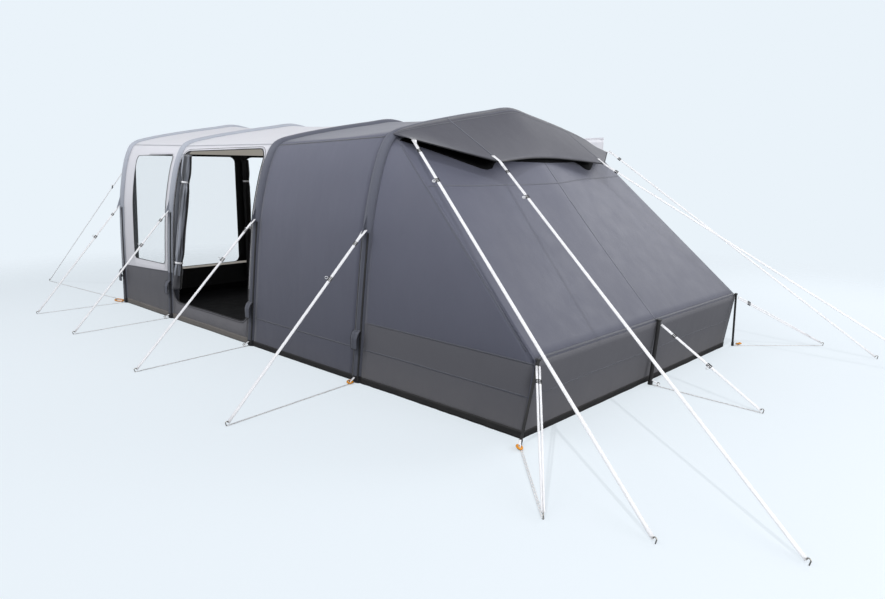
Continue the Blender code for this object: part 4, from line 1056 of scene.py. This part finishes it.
# ---------------------------------------------------------------------------------------------
# Front end wall: pale cloth inside the first beam, with a window on the near half and a doorway
# on the far half. Its lower part is charcoal.
FRONT_INSET, FRONT_BAND, FRONT_TAPE, FRONT_TOP = 0.1116, 0.360, 0.028, 1.762
FRONT_FROM, FRONT_TO, FRONT_OFF = -3.3, -2.6, 0.0035

bm = bmesh.new()
outline = [arch_at("a", LAST * i / 72, FRONT_INSET) for i in range(73)]
bm.faces.new([bm.verts.new((0, p.y, p.z)) for p in outline])
sliced(bm, 1, shares(-1.43, 1.43, 30))
sliced(bm, 2, shares(0.0, 2.05, 24))
sliced(bm, 2, (FRONT_BAND - FRONT_TAPE, FRONT_BAND, FRONT_TOP))
layer = bm.loops.layers.uv.new("UVMap")
for v in bm.verts:
    v.co.x = lean_x("a", v.co.z) - 0.001
for face in bm.faces:
    z = face.calc_center_median().z
    face.material_index = 0 if z > FRONT_TOP else 1 if z > FRONT_BAND else 2 if z > FRONT_BAND - FRONT_TAPE else 3
    for loop in face.loops:
        loop[layer].uv = (loop.vert.co.y, loop.vert.co.z)
if sum(f.normal.x for f in bm.faces) > 0:
    bmesh.ops.reverse_faces(bm, faces=bm.faces)
front_wall = piece("front_wall_cloth", bm, PALE, PALE, PALE, MUD, PAINTED_GLOW_LINING, LINING_DARK, PAINTED_GLOW_LINING, LINING_DARK)
wall = front_wall.modifiers.new("cloth", "SOLIDIFY")
wall.thickness, wall.offset, wall.material_offset = CLOTH, -1, 4
settle(front_wall)
front_film = front_wall.copy()
front_film.data = front_wall.data.copy()
front_film.name = "front_window_film"
bpy.context.scene.collection.objects.link(front_film)
inner = rounded((-1.339, -0.001, 0.361), (-1.284, -0.001, 1.739), 0.075)
carved(front_film, inner, 0, FRONT_FROM, FRONT_TO, "INTERSECT")
front_film.data.materials.clear()
front_film.data.materials.append(FILM)
for face in front_film.data.polygons:
    face.material_index = 0
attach(front_film, TENT)
FRONT_WINDOW = rounded((-1.340, 0.000, 0.360), (-1.285, 0.000, 1.740), 0.075)
FRONT_DOOR = rounded((0.130, 1.230, 0.120), (0.130, 1.230, 1.740), 0.125)
for word, line, radius in (("window", FRONT_WINDOW, WINDOW_PIPING), ("door", FRONT_DOOR, DOOR_PIPING)):
    carved(front_wall, line, 0, FRONT_FROM, FRONT_TO)
    for side, off in (("outer", -FRONT_OFF), ("inner", FRONT_OFF)):
        outlined(f"front_{word}_piping_{side}", line, lambda y, z: Vector((lean_x("a", z) + off, y, z)), radius)
zip_low, zip_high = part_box("front_zip_slider")
zip_y = (zip_low.y + zip_high.y) / 2
outlined("front_zip_coil", rounded((1.36 - zip_y, zip_y, 0.06), (1.36 - zip_y, zip_y, 1.80), 0.16),
         lambda y, z: Vector((lean_x("a", z) - FRONT_OFF, y, z)), COIL_RADIUS, step=COIL_STEP)
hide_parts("front_wall")
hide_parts("front_window")

# ---------------------------------------------------------------------------------------------
# Bedroom end: two side walls, a long rear slope and a low upright rear wall, all charcoal. The
# lowest half metre is a tougher mud band.
REAR_HEIGHT, REAR_LEAN, REAR_NARROWING, MUD_TOP = 0.491, 0.080, 0.011, 0.473
SLOPE_INSET, SLOPE_SIDE, SLOPE_SAG, SLOPE_RIPPLE = 0.045, 0.0547, 0.035, 0.010
SIDE_ACROSS, SIDE_UP, SLOPE_ACROSS, SLOPE_DOWN = 24, 28, 48, 24
SIDE_RIPPLE, SIDE_PULL, LOW_WALL_BOW = 0.008, 0.004, 0.006
BEDROOM = Vector((1.6, 0, 0.5))


def slope_head(t):
    """The line on beam D's rear side over which the slope is sewn, from shoulder to shoulder."""
    return arch_at("d", t, SLOPE_INSET, SLOPE_SIDE - 0.004)


HEAD = slope_head(SHOULDER)


def rear_edge(z, side):
    """The outer rear edge of a side wall: up the low wall, then along the slope to the beam."""
    half = HALF_WIDTH - PANEL_INSET
    foot = Vector((REAR_X, side * half, 0))
    knee = Vector((REAR_X + REAR_LEAN, side * (half - REAR_NARROWING), REAR_HEIGHT))
    if z <= REAR_HEIGHT:
        return foot.lerp(knee, z / REAR_HEIGHT)
    return knee.lerp(Vector((HEAD.x, -side * HEAD.y, HEAD.z)), (z - REAR_HEIGHT) / (HEAD.z - REAR_HEIGHT))


def rear_side_at(side, u, v):
    """A point of a rear side wall: u from the beam to the rear edge, v up."""
    z = v * (HEAD.z - 0.004)
    leg = arch_at("d", station_at("d", z, PANEL_INSET), PANEL_INSET)
    start = Vector((leg.x + PANEL_SIDE - TUCK, -side * leg.y, z))
    end = rear_edge(z, side)
    point = start.lerp(end, u)
    ripple = noise.noise(Vector((point.x * 1.6 + side, point.y, point.z * 1.9))) * SIDE_RIPPLE * 4 * u * (1 - u)
    return Vector((point.x, point.y + side * (ripple - SIDE_PULL * 4 * u * (1 - u)), z))


for side, word in ((-1, "near"), (1, "far")):
    obj = cloth(f"rear_{word}_wall_cloth", SIDE_ACROSS, SIDE_UP, lambda u, v: rear_side_at(side, u, v), CLOTH, DARK,
                LINING_DARK, inside=BEDROOM)
    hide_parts(f"rear_{word}_side")
    settle(obj)
    obj.data.materials.append(MUD)
    banded(obj, (Vector((1.4, 0, MUD_TOP)), Vector((3.06, 0, MUD_TOP))), 2)
    undeclared(obj)


def slope_at(u, v):
    """A point of the rear slope: u across from near to far, v down from the beam to the low wall."""
    t = SHOULDER + (LAST - 2 * SHOULDER) * u
    start = slope_head(t)
    half_low = HALF_WIDTH - PANEL_INSET - REAR_NARROWING
    end = Vector((REAR_X + REAR_LEAN, start.y * half_low / abs(HEAD.y), REAR_HEIGHT))
    hang = SLOPE_SAG * 4 * v * (1 - v) * (1 - (start.y / HEAD.y) ** 2)
    point = start.lerp(end, v)
    ripple = noise.noise(Vector((point.x * 0.8, point.y * 1.9, 7.0))) * SLOPE_RIPPLE * 4 * v * (1 - v)
    return point - Vector((0, 0, hang - ripple * (1 - (start.y / HEAD.y) ** 2)))


slope = undeclared(cloth("rear_slope_cloth", SLOPE_ACROSS, SLOPE_DOWN, slope_at, CLOTH, DARK, LINING_DARK,
                         inside=MIDDLE))
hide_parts("rear_slope")


def low_wall_at(u, v):
    """A point of the low upright rear wall."""
    half = HALF_WIDTH - PANEL_INSET - REAR_NARROWING * v
    bow = LOW_WALL_BOW * 4 * v * (1 - v) * math.sin(math.pi * u * 2) ** 2
    return Vector((REAR_X + REAR_LEAN * v - bow, half * (2 * u - 1), REAR_HEIGHT * v))


low_wall = cloth("rear_low_wall_cloth", 40, 10, low_wall_at, CLOTH, MUD, LINING_DARK, inside=MIDDLE)
sewn(low_wall)
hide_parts("rear_low_wall")

EDGE_SEAM_AT, EDGE_SEAM_FROM, EDGE_SEAM_RUN, EDGE_PIPING, EDGE_FOOT, EDGE_SHORT = 0.985, 0.30, 0.68, 0.0040, 0.012, 0.02
SIDE_HEM_WAVE, LOW_HEM, LOW_HEM_WAVE, KNEE_SEAM, KNEE_WIDTH = 0.010, 0.046, 0.008, 0.992, 0.016
CROSS_Z, CROSS_FALL, CROSS_FALL_TO = 1.470, 0.09, 0.7
VENT_STEPS, VENT_EDGE, VENT_WIDE, VENT_TOP, VENT_FOOT, VENT_CLOTH = 60, 0.01, 0.98, 0.012, 1.668, 0.0008
VENT_DROP, VENT_DROP_FROM, VENT_DROP_RUN, VENT_RISE, VENT_RISE_FROM = 0.068, 0.53, 0.10, 0.32, 0.70
for side, word in ((-1, "near"), (1, "far")):
    def place(u, v):
        """A point of this side wall: u from the beam to the rear edge, v up."""
        return rear_side_at(side, u, v)

    seam(f"rear_{word}_band_seam", place, at_height(place, MUD_TOP), BEDROOM, SEAM_DARK)
    seam(f"rear_{word}_low_seam", place, at_height(place, LOW_SEAM), BEDROOM, SEAM_DARK)
    edge = [(EDGE_SEAM_AT, EDGE_SEAM_FROM + EDGE_SEAM_RUN * i / 30) for i in range(31)]
    seam(f"rear_{word}_edge_seam", place, edge, BEDROOM, SEAM_QUIET)
    hem(f"rear_{word}_hem", place, BEDROOM, DARK_HEM, HEM_BLACK, SIDE_HEM_WAVE)
    edge = [rear_edge(EDGE_FOOT + (HEAD.z - EDGE_SHORT) * i / 40, side) for i in range(41)]
    rods(f"rear_{word}_edge_piping", [(edge, EDGE_PIPING)], DARK, sides=2)
seam("slope_middle_seam", slope_at, [(0.5, i / 30) for i in range(31)], MIDDLE, SEAM_QUIET)
# The vent's foot runs close under the hood's edge, so its black also paints the shade that the hood casts.
cross_line, vent_shade_line = [], []
for i in range(VENT_STEPS + 1):
    u = VENT_EDGE + VENT_WIDE * i / VENT_STEPS
    head = slope_head(SHOULDER + (LAST - 2 * SHOULDER) * u)
    cross_z = CROSS_Z + CROSS_FALL * min(u, CROSS_FALL_TO)
    cross_line.append((u, (head.z - cross_z) / (head.z - REAR_HEIGHT)))
    drop = min(max(abs(head.y) - VENT_DROP_FROM, 0) / VENT_DROP_RUN, 1)
    foot = VENT_FOOT - VENT_DROP * drop + VENT_RISE * max(abs(head.y) - VENT_RISE_FROM, 0)
    vent_shade_line.append((head.z - foot) / (head.z - REAR_HEIGHT))
seam("slope_cross_seam", slope_at, cross_line, MIDDLE, SEAM_QUIET)


def vent_shade_at(u, v):
    """A point of the black mesh vent that the hood covers. Its foot follows the hood's edge, so the black sheet is
    partly a real vent and partly painted shade under the hood.
    """
    place = min(max(u * VENT_STEPS, 0), VENT_STEPS - 0.001)
    foot = vent_shade_line[int(place)] + (vent_shade_line[int(place) + 1] - vent_shade_line[int(place)]) * (place - int(place))
    return on_cloth(slope_at, VENT_EDGE + VENT_WIDE * u, VENT_TOP + (foot - VENT_TOP) * v, MIDDLE)[0]


# Near-black vent cloth: partly a real mesh vent, partly painted shade under the hood.
PAINTED_SHADE_VENT = fabric("vent_mesh_painted_shade", (0.0035, 0.0035, 0.004), crease=0.1, mottle=0.3, sheen=0.0, gloss=0.05, thread=1900.0)
undeclared(cloth("vent_mesh_painted_shade", VENT_STEPS, 6, vent_shade_at, VENT_CLOTH, PAINTED_SHADE_VENT, inside=MIDDLE))
seam("knee_seam", slope_at, [(i / 40, KNEE_SEAM) for i in range(41)], MIDDLE, SEAM_DARK, KNEE_WIDTH)
seam("low_wall_seam", low_wall_at, [(i / 40, LOW_SEAM / REAR_HEIGHT) for i in range(41)], MIDDLE, SEAM_DARK)
hem("low_wall_hem", low_wall_at, MIDDLE, LOW_HEM, HEM_BLACK, LOW_HEM_WAVE)

# ---------------------------------------------------------------------------------------------
# Rear hood: a charcoal flap over the head of the slope, pulled out by four guys. Its edge is cut
# in a shallow arch between the two inner ones.
HOOD_NEAR_OUTER, HOOD_FAR_OUTER = Vector((1.842, 1.319, 1.789)), Vector((1.812, 1.300, 1.760))
HOOD_INNER, HOOD_MIDDLE = Vector((2.131, 0.717, 1.639)), Vector((2.030, 0.0, 1.681))
HOOD_ACROSS, HOOD_DOWN, HOOD_REACH, HOOD_TURN, HOOD_TUCK = 64, 16, 0.0553, math.tau / 12, 0.003
HOOD_INNER_AT, HOOD_GUYS_AT = 0.46, (("near_outer", 0.006), ("near_inner", 0.23), ("far_inner", 0.77),
                                     ("far_outer", 0.994))
HOOD_TAB_WIDTHS, HOOD_TAB_AT, HOOD_TAB_OFF, HOOD_TAB_REACH = [0.036, 0.028, 0.021], (0.86, 0.985), (0.003, 0.004), 0.048
HOOD_BINDING, HOOD_TOP_SEAM = 0.0045, 0.10


def hood_edge(u):
    """The hood's free edge from its near outer corner to its far one."""
    side, share = (-1, u * 2) if u < 0.5 else (1, (1 - u) * 2)
    if share < HOOD_INNER_AT:
        point = (HOOD_NEAR_OUTER if u < 0.5 else HOOD_FAR_OUTER).lerp(HOOD_INNER, share / HOOD_INNER_AT)
    else:
        turn = (share - HOOD_INNER_AT) / (1 - HOOD_INNER_AT)
        point = HOOD_INNER.lerp(HOOD_MIDDLE, turn)
        bow = math.sin(math.pi / 2 * turn)
        point = Vector((HOOD_INNER.x + (HOOD_MIDDLE.x - HOOD_INNER.x) * bow, point.y,
                        HOOD_INNER.z + (HOOD_MIDDLE.z - HOOD_INNER.z) * bow))
    return Vector((point.x, side * point.y, point.z))


def hood_at(u, v):
    """A point of the hood: u across from near to far, v down from the beam to the free edge."""
    t = SHOULDER + (LAST - 2 * SHOULDER) * u
    start = arch_at("d", t, BEAM_RADIUS - HOOD_REACH * math.cos(HOOD_TURN),
                    HOOD_REACH * math.sin(HOOD_TURN) - HOOD_TUCK)
    return start.lerp(hood_edge(u), v)


HOOD = fabric("hood_cloth", (0.072, 0.073, 0.093), crease=0.7, mottle=0.14)
hood = undeclared(cloth("rear_hood_cloth", HOOD_ACROSS, HOOD_DOWN, hood_at, CLOTH, HOOD, LINING_DARK, inside=BEDROOM))
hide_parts("rear_hood")

rods("hood_binding", [([hood_edge(i / HOOD_ACROSS) for i in range(HOOD_ACROSS + 1)], HOOD_BINDING)], BLACK_TAPE,
     sides=2)
for number, (_, u) in enumerate(HOOD_GUYS_AT[1:3]):
    seam(f"hood_seam_{number}", hood_at, [(u, i / 16) for i in range(17)], BEDROOM, SEAM_QUIET)
seam("hood_top_seam", hood_at, [(i / 60, HOOD_TOP_SEAM) for i in range(61)], BEDROOM, SEAM_DARK)
for name, u in HOOD_GUYS_AT:
    start, way, facing = guy_way["hood_" + name]
    head, out = on_cloth(hood_at, u, HOOD_TAB_AT[0], BEDROOM, HOOD_TAB_OFF[0])
    edge = on_cloth(hood_at, u, HOOD_TAB_AT[1], BEDROOM, HOOD_TAB_OFF[1])[0]
    undeclared(strap("hood_tab_" + name, [head, edge, start + way * HOOD_TAB_REACH], HOOD_TAB_WIDTHS, WHITE_WEBBING,
                     [out, out, facing], 14, TAB_THICKNESS))

# ---------------------------------------------------------------------------------------------
# Rolled doors: the near door rolled up beside beam B and the front door rolled up inside its
# doorway, each gathered by two white webbing ties with a black toggle.
ROLLED, tree, shader = principled("rolled_cloth_and_film", 0.45, Sheen_Weight=0.2, Coat_Weight=0.25,
                                  Coat_Roughness=0.2)
weave = use(tree, cloth_group, Colour=(0.30, 0.32, 0.37, 1), Thread=5200.0, Crease=0.6, Mottle=0.1)
uv = tree.nodes.new("ShaderNodeTexCoord")
bands = tree.nodes.new("ShaderNodeMapping")
bands.inputs["Scale"].default_value = (34.0, 1.3, 1.0)
tree.links.new(uv.outputs["UV"], bands.inputs["Vector"])
streak = noise_at(tree, bands.outputs["Vector"], 1.0, 2.0)
ramp = tree.nodes.new("ShaderNodeValToRGB")
ramp.color_ramp.elements[0].position, ramp.color_ramp.elements[1].position = 0.44, 0.54
tree.links.new(streak, ramp.inputs["Fac"])
pale_part = mixed(tree, ramp.outputs["Color"], (0.045, 0.048, 0.055, 1), weave.outputs["Colour"])
along = tree.nodes.new("ShaderNodeSeparateXYZ")
tree.links.new(uv.outputs["UV"], along.inputs[0])
foot_part = maths(tree, "LESS_THAN", along.outputs["Y"], 0.150)
tree.links.new(mixed(tree, foot_part, pale_part, (0.060, 0.060, 0.068, 1)), shader.inputs["Base Color"])
bumped(tree, shader, streak, 0.8, 0.006)
ROLL_RADIUS, ROLL_AROUND, ROLL_ALONG, ROLL_WIDE, ROLL_FILL = 0.050, 48, 60, 0.157, 0.2
ROLL_BODY, ROLL_FOLD, ROLL_CREASE, ROLL_SWELL, ROLL_PINCHED, ROLL_PINCH_OUT = 0.88, 0.08, 0.03, 0.06, 0.70, 5.0
ROLL_EDGE_TURN, ROLL_EDGE_OUT, ROLL_EDGE_WIDTH, ROLL_EDGE_CLOTH = 0.43, 1.06, 0.024, 0.003
TIE_SHARE, TIE_WIDTH, TIE_CLOTH = 0.80, 0.020, 0.0016
TOGGLE_SHARE, TOGGLE_WAY, TOGGLE_HALF, TOGGLE_RADIUS = 0.86, (0.25, 0.96, 0), 0.016, 0.0055
ROLLS = {
    "near_door_roll": (Vector((-1.6035, -1.5015, 0.335)), Vector((-1.4615, -1.3514, 1.725)), ROLLED, (0.20, 0.80)),
    "front_door_roll": (Vector((-2.9235, 0.122, 0.155)), Vector((-2.8995, 0.122, 1.705)), LINING_DARK, (0.42, 0.82)),
}


def bundle(name, low, high, finish, ties):
    """A loosely rolled panel: a round bundle with soft folds, pulled in at its ties."""
    up = (high - low).normalized()
    side = up.cross(Vector((0, 1, 0))).normalized()
    front = side.cross(up)

    def place(u, v):
        turn = u * math.tau
        fold = math.sin(turn * 3 + 2.5 * math.sin(v * 4.0)) * ROLL_FOLD + math.sin(turn * 7 + v * 9) * ROLL_CREASE
        pinch = min(1.0, min(ROLL_PINCHED + ROLL_PINCH_OUT * abs(v - tie) for tie in ties))
        swell = noise.noise(Vector((math.cos(turn), math.sin(turn), v * 7))) * ROLL_SWELL
        radius = ROLL_RADIUS * (ROLL_BODY + fold + swell) * pinch
        return low.lerp(high, v) + (side * math.cos(turn) + front * math.sin(turn)) * radius
    bm = bmesh.new()
    bmesh.ops.create_grid(bm, x_segments=ROLL_AROUND, y_segments=ROLL_ALONG, size=1)
    layer = bm.loops.layers.uv.new("UVMap")
    for face in bm.faces:
        for loop in face.loops:
            loop[layer].uv = ((loop.vert.co.x + 1) * ROLL_WIDE, (loop.vert.co.y + 1) / 2 * (high - low).length)
    for v in bm.verts:
        v.co = place((v.co.x + 1) / 2, (v.co.y + 1) / 2)
    bmesh.ops.remove_doubles(bm, verts=bm.verts, dist=0.0005)
    bmesh.ops.holes_fill(bm, edges=[e for e in bm.edges if e.is_boundary], sides=0)
    bmesh.ops.recalc_face_normals(bm, faces=bm.faces)
    roll = piece(name + "_cloth", bm, finish)
    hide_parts(name)
    middles = [low.lerp(high, 0.01 + 0.98 * i / 40) for i in range(41)]
    outer = [place(ROLL_EDGE_TURN + 0.03 * math.sin(i * 0.5), 0.01 + 0.98 * i / 40) for i in range(41)]
    outer = [m + (p - m) * ROLL_EDGE_OUT for p, m in zip(outer, middles)]
    undeclared(strap(name + "_zip_edge", outer, ROLL_EDGE_WIDTH, ZIP,
                     [(p - m).normalized() for p, m in zip(outer, middles)], 80, ROLL_EDGE_CLOTH))
    for number, tie in enumerate(ties):
        middle = low.lerp(high, tie)
        ring = [middle + (side * math.cos(a) + front * math.sin(a)) * ROLL_RADIUS * TIE_SHARE
                for a in [math.tau * i / 24 for i in range(25)]]
        undeclared(strap(f"{name}_tie_{number}", ring, TIE_WIDTH, WHITE_WEBBING,
                         [(p - middle).normalized() for p in ring], 48, TIE_CLOTH))
        toggle = middle - Vector(TOGGLE_WAY).normalized() * ROLL_RADIUS * TOGGLE_SHARE
        rods(f"{name}_toggle_{number}", [([toggle - up * TOGGLE_HALF, toggle + up * TOGGLE_HALF], TOGGLE_RADIUS)],
             BLACK_PLASTIC)


for name, (low, high, finish, ties) in ROLLS.items():
    bundle(name, low, high, finish, ties)

# ---------------------------------------------------------------------------------------------
# Connection tunnel: a pale coated shell sewn round the far doorway of bay 2. Its outer edge ends
# in a flat bead strip that slides into a rail.
BEAD_Y, BEAD_HEIGHT, TUNNEL_REAR, TUNNEL_FRONT = 3.000, 1.970, 0.750, -2.200
FAR_SHOULDER, TUNNEL_GAP, TUNNEL_OUT, TUNNEL_ROUND = LAST - SHOULDER, -0.0006, 20, 64
TUNNEL_LEG, TUNNEL_TOP, TUNNEL_SAG, TUNNEL_RIPPLE, BEAD_ROUND = 0.42, 0.16, 0.030, 0.012, 0.0025


def tunnel_line(share):
    """The tunnel's edge on the tent, from beam C's far foot over the top to beam B's."""
    if share < TUNNEL_LEG:
        return arch_at("c", LAST - SHOULDER * share / TUNNEL_LEG, TUNNEL_GAP)
    if share > 1 - TUNNEL_LEG:
        return arch_at("b", LAST - SHOULDER * (1 - share) / TUNNEL_LEG, TUNNEL_GAP)
    a, b = arch_at("c", FAR_SHOULDER, TUNNEL_GAP), arch_at("b", FAR_SHOULDER, TUNNEL_GAP)
    return a.lerp(b, (share - TUNNEL_LEG) / (1 - 2 * TUNNEL_LEG))


def tunnel_at(u, v):
    """A point of the tunnel: u out from the tent to the bead, v round it."""
    near = tunnel_line(v)
    across = min(max((v - TUNNEL_LEG) / TUNNEL_TOP, 0), 1)
    top_z = arch_at("c", FAR_SHOULDER, TUNNEL_GAP).z
    far = Vector((TUNNEL_REAR + (TUNNEL_FRONT - TUNNEL_REAR) * across, BEAD_Y,
                  min(near.z * BEAD_HEIGHT / top_z, BEAD_HEIGHT)))
    roof = min(max((0.5 - abs(v - 0.5) - 0.40) / 0.06, 0), 1)
    ripple = noise.noise(Vector((u * 2.5, v * 9.0, 3.0))) * TUNNEL_RIPPLE * math.sin(math.pi * u)
    return near.lerp(far, u) - Vector((0, 0, roof * TUNNEL_SAG * 4 * u * (1 - u))) + Vector((ripple, 0, 0))


tunnel = undeclared(cloth("tunnel_cloth", TUNNEL_OUT, TUNNEL_ROUND, tunnel_at, CLOTH, PALE, PAINTED_GLOW_LINING,
                          inside=Vector((-0.9, 2.27, 0.5))))
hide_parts("connection_tunnel")
bead_low, bead_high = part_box("vehicle_bead_strip")
bm = bmesh.new()
bmesh.ops.create_cube(bm, size=1)
bmesh.ops.scale(bm, vec=(bead_high - bead_low), verts=bm.verts)
bmesh.ops.translate(bm, vec=(bead_low + bead_high) / 2, verts=bm.verts)
bmesh.ops.bevel(bm, geom=[e for e in bm.edges if abs(e.verts[0].co.x - e.verts[1].co.x) > 1], offset=BEAD_ROUND,
                affect="EDGES", segments=3, profile=0.5, material=-1)
bead = piece("vehicle_bead", bm, PALE)
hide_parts("vehicle_bead_strip")

# ---------------------------------------------------------------------------------------------
# Rear poles: three black steel upstand poles that hold up the low wall's upper edge. Each has a
# thicker foot with a pegged loop beside it, and a flat cap.
BLACK_STEEL = speckled("black_powder_coat", 0.38, 60.0, 5.0, (0.012, 0.012, 0.013), (0.035, 0.034, 0.033),
                       Coat_Weight=0.15)[0]
POLES = {"near": ((3.040, -1.600, 0.0), (3.0734, -1.4871, 0.503), 0.010),
         "middle": ((3.040, 0.000, 0.0), (3.0796, 0.000, 0.503), 0.016),
         "far": ((3.040, 1.600, 0.0), (3.0734, 1.4871, 0.503), 0.010)}
POLE_SHARE, SHOE_SHARE, SHOE_TALL, POLE_EDGE, POLE_LOOP_OFF = 0.92, 1.15, 0.035, 0.0012, 0.012
POLE_CAP_LOW, POLE_CAP_HIGH, POLE_CAP_RIM = 0.004, 0.007, 0.004
for word, (foot, head, radius) in POLES.items():
    foot, head = Vector(foot), Vector(head)
    up = (head - foot).normalized()
    foot.z = 0.002
    bm = bmesh.new()
    for start, end, wide in ((foot, head, radius * POLE_SHARE), (foot, foot + up * SHOE_TALL, radius * SHOE_SHARE),
                             (head - up * POLE_CAP_LOW, head + up * POLE_CAP_HIGH, radius + POLE_CAP_RIM)):
        made = bmesh.ops.create_cone(bm, cap_ends=True, segments=24, radius1=wide, radius2=wide,
                                     depth=(end - start).length)
        turn = Vector((0, 0, 1)).rotation_difference(up).to_matrix()
        bmesh.ops.rotate(bm, verts=made["verts"], matrix=turn)
        bmesh.ops.translate(bm, verts=made["verts"], vec=(start + end) / 2)
    for v in bm.verts:
        v.co.z = max(v.co.z, 0.0005)
    pole = settle(eased(piece(f"pole_{word}", bm, BLACK_STEEL, smooth=False), POLE_EDGE))
    out = Vector((0.7, foot.y / 1.6, 0)) if word != "middle" else Vector((1, 0, 0))
    pegged_loop("pole_" + word, (foot.x + POLE_LOOP_OFF * out.x, foot.y + POLE_LOOP_OFF * out.y), out, word != "middle")
    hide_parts("rear_pole_" + word)

# ---------------------------------------------------------------------------------------------
# Air valves: a moulded screw cap on the near leg of each beam, under a flap of sleeve cloth with a
# bound edge. The flap is sewn on along its top, and lifts for the pump.
VALVE_Z, CAP_STEPS = 0.330, ((0.018, 0.0, 0.007), (0.0135, 0.007, 0.010))
CAP_SIDES, CAP_TAPER, CAP_NOTCH, CAP_SET = 36, 0.97, 0.94, 0.005
FLAP_TOP, FLAP_HEIGHT, FLAP_WIDTH, FLAP_OUT, FLAP_CLOTH, FLAP_BINDING = 0.412, 0.140, 0.078, 0.040, 0.0015, 0.0022
FLAP_LIP, FLAP_LIP_OUT, FLAP_BELLY, FLAP_BELLY_OUT, FLAP_TAPER = 0.12, 0.55, 0.28, 0.45, 0.10
VALVES = {"a": (-2.972185, -1.548373, -2.971007, -1.528115), "b": (-1.732648, -1.548141, -1.726392, -1.527826),
          "c": (-0.073783, -1.547972, -0.063607, -1.527614), "d": (1.450215, -1.548098, 1.458266, -1.527772)}
for arch, (cap_x, cap_y, hinge_x, hinge_y) in VALVES.items():
    bm = bmesh.new()
    for step, (radius, start, end) in enumerate(CAP_STEPS):
        made = bmesh.ops.create_cone(bm, cap_ends=True, segments=CAP_SIDES, radius1=radius, radius2=radius * CAP_TAPER,
                                     depth=end - start)
        for v in made["verts"]:
            if step == 0 and round(math.atan2(v.co.y, v.co.x) / math.tau * CAP_SIDES) % 3 == 0:
                v.co.x, v.co.y = v.co.x * CAP_NOTCH, v.co.y * CAP_NOTCH
        bmesh.ops.rotate(bm, verts=made["verts"], matrix=Matrix.Rotation(math.pi / 2, 3, "X"))
        bmesh.ops.translate(bm, verts=made["verts"], vec=(cap_x, cap_y + CAP_SET - (start + end) / 2, VALVE_Z))
    bm.normal_update()
    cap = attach(piece("cap_" + arch, bm, BLACK_PLASTIC, smooth=False), "valve_cap_" + arch)
    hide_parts("valve_cap_" + arch)

    def flap_at(u, v):
        """A point of the flap: u across it, v down from its hinge."""
        if v < FLAP_LIP:
            out = FLAP_LIP_OUT * v / FLAP_LIP
        else:
            out = FLAP_LIP_OUT + FLAP_BELLY_OUT * min((v - FLAP_LIP) / FLAP_BELLY, 1)
        return Vector((hinge_x + FLAP_WIDTH * (u - 0.5) * (1 - FLAP_TAPER * v),
                       hinge_y - FLAP_OUT * out * (1 - FLAP_TAPER * (2 * u - 1) ** 2), FLAP_TOP - FLAP_HEIGHT * v))

    flap = undeclared(cloth("flap_" + arch, 10, 16, flap_at, FLAP_CLOTH, SLEEVE_DARK, outwards=-1,
                            inside=Vector((hinge_x, hinge_y + 0.2, 0.35))))
    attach(flap, "valve_flap_" + arch)
    rim = [flap_at(0, 0.02 + 0.98 * i / 14) for i in range(15)] + [flap_at(i / 8, 1) for i in range(1, 8)]
    rim += [flap_at(1, 1 - 0.98 * i / 14) for i in range(15)]
    rods("flap_binding_" + arch, [(rim, FLAP_BINDING)], BLACK_TAPE, sides=2, body="valve_flap_" + arch)
    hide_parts("valve_flap_" + arch)

# ---------------------------------------------------------------------------------------------
# Zip sliders: black moulded bodies with a cord puller, one on the near door's zip and one on the
# front door's. Each runs on its coil.
SLIDER_WIDE, SLIDER_NARROW, SLIDER_DEEP, SLIDER_LONG, SLIDER_EDGE = 0.0055, 0.0038, 0.008, 0.028, 0.0012
PULLER_LINE, PULLER_RADIUS = ((0.004, 0.004), (0.009, -0.010), (0.006, -0.045)), 0.0016
for name, node, front in (("door_slider", "door_zip_slider", Vector((0, -1, 0))),
                          ("front_slider", "front_zip_slider", Vector((-1, 0, 0)))):
    low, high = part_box(node)
    middle, up = (low + high) / 2, Vector((0, 0, 1))
    side = up.cross(front)
    bm = bmesh.new()
    bmesh.ops.create_cube(bm, size=1)
    for v in bm.verts:
        wide = SLIDER_WIDE if v.co.z > 0 else SLIDER_NARROW
        v.co = middle + side * (2 * v.co.x * wide) + front * (v.co.y * SLIDER_DEEP) + up * (v.co.z * SLIDER_LONG)
    bmesh.ops.recalc_face_normals(bm, faces=bm.faces)
    bmesh.ops.bevel(bm, geom=bm.edges[:], offset=SLIDER_EDGE, affect="EDGES", segments=2, profile=0.5, material=-1)
    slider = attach(piece(name, bm, BLACK_PLASTIC), node)
    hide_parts(node)
    line = curved([middle + front * out + up * z for out, z in PULLER_LINE])
    rods(name + "_puller", [(line, PULLER_RADIUS)], BLACK_PLASTIC, body=node)

# ---------------------------------------------------------------------------------------------
# Runners: flat moulded sliders with three slots, threaded on the guys to tighten them. Each has a
# small webbing loop to pull it by.
RUNNERS = ("beam_a", "beam_b", "beam_c", "beam_d", "front_corner", "hood_near_inner", "hood_near_outer", "rear_middle")
RUNNER_HALF, RUNNER_EDGE = (0.0145, 0.018, 0.0030), 0.0008
PULL_SIDE, PULL_ALONG, PULL_UP, PULL_ROUND, PULL_WIDTH, PULL_CLOTH = 0.025, 0.004, 0.004, (0.011, 0.009), 0.010, 0.0016
for name in RUNNERS:
    start, way, face = guy_way[name]
    side = way.cross(face)
    low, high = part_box("runner_" + name)
    middle = start + way * ((low + high) / 2 - start).dot(way)
    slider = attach(slotted("slider_" + name, middle, side, way, face, RUNNER_HALF, 7), "runner_" + name)
    settle(eased(slider, RUNNER_EDGE))
    heart = middle + side * PULL_SIDE + way * PULL_ALONG + face * PULL_UP
    turns = [math.tau * i / 24 for i in range(25)]
    spokes = [side * -PULL_ROUND[0] * math.cos(a) + way * PULL_ROUND[1] * math.sin(a) for a in turns]
    loop = undeclared(strap("pull_loop_" + name, [heart + out for out in spokes], PULL_WIDTH, WHITE_WEBBING, spokes,
                            24, PULL_CLOTH))
    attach(loop, "runner_" + name)
    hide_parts("runner_" + name)
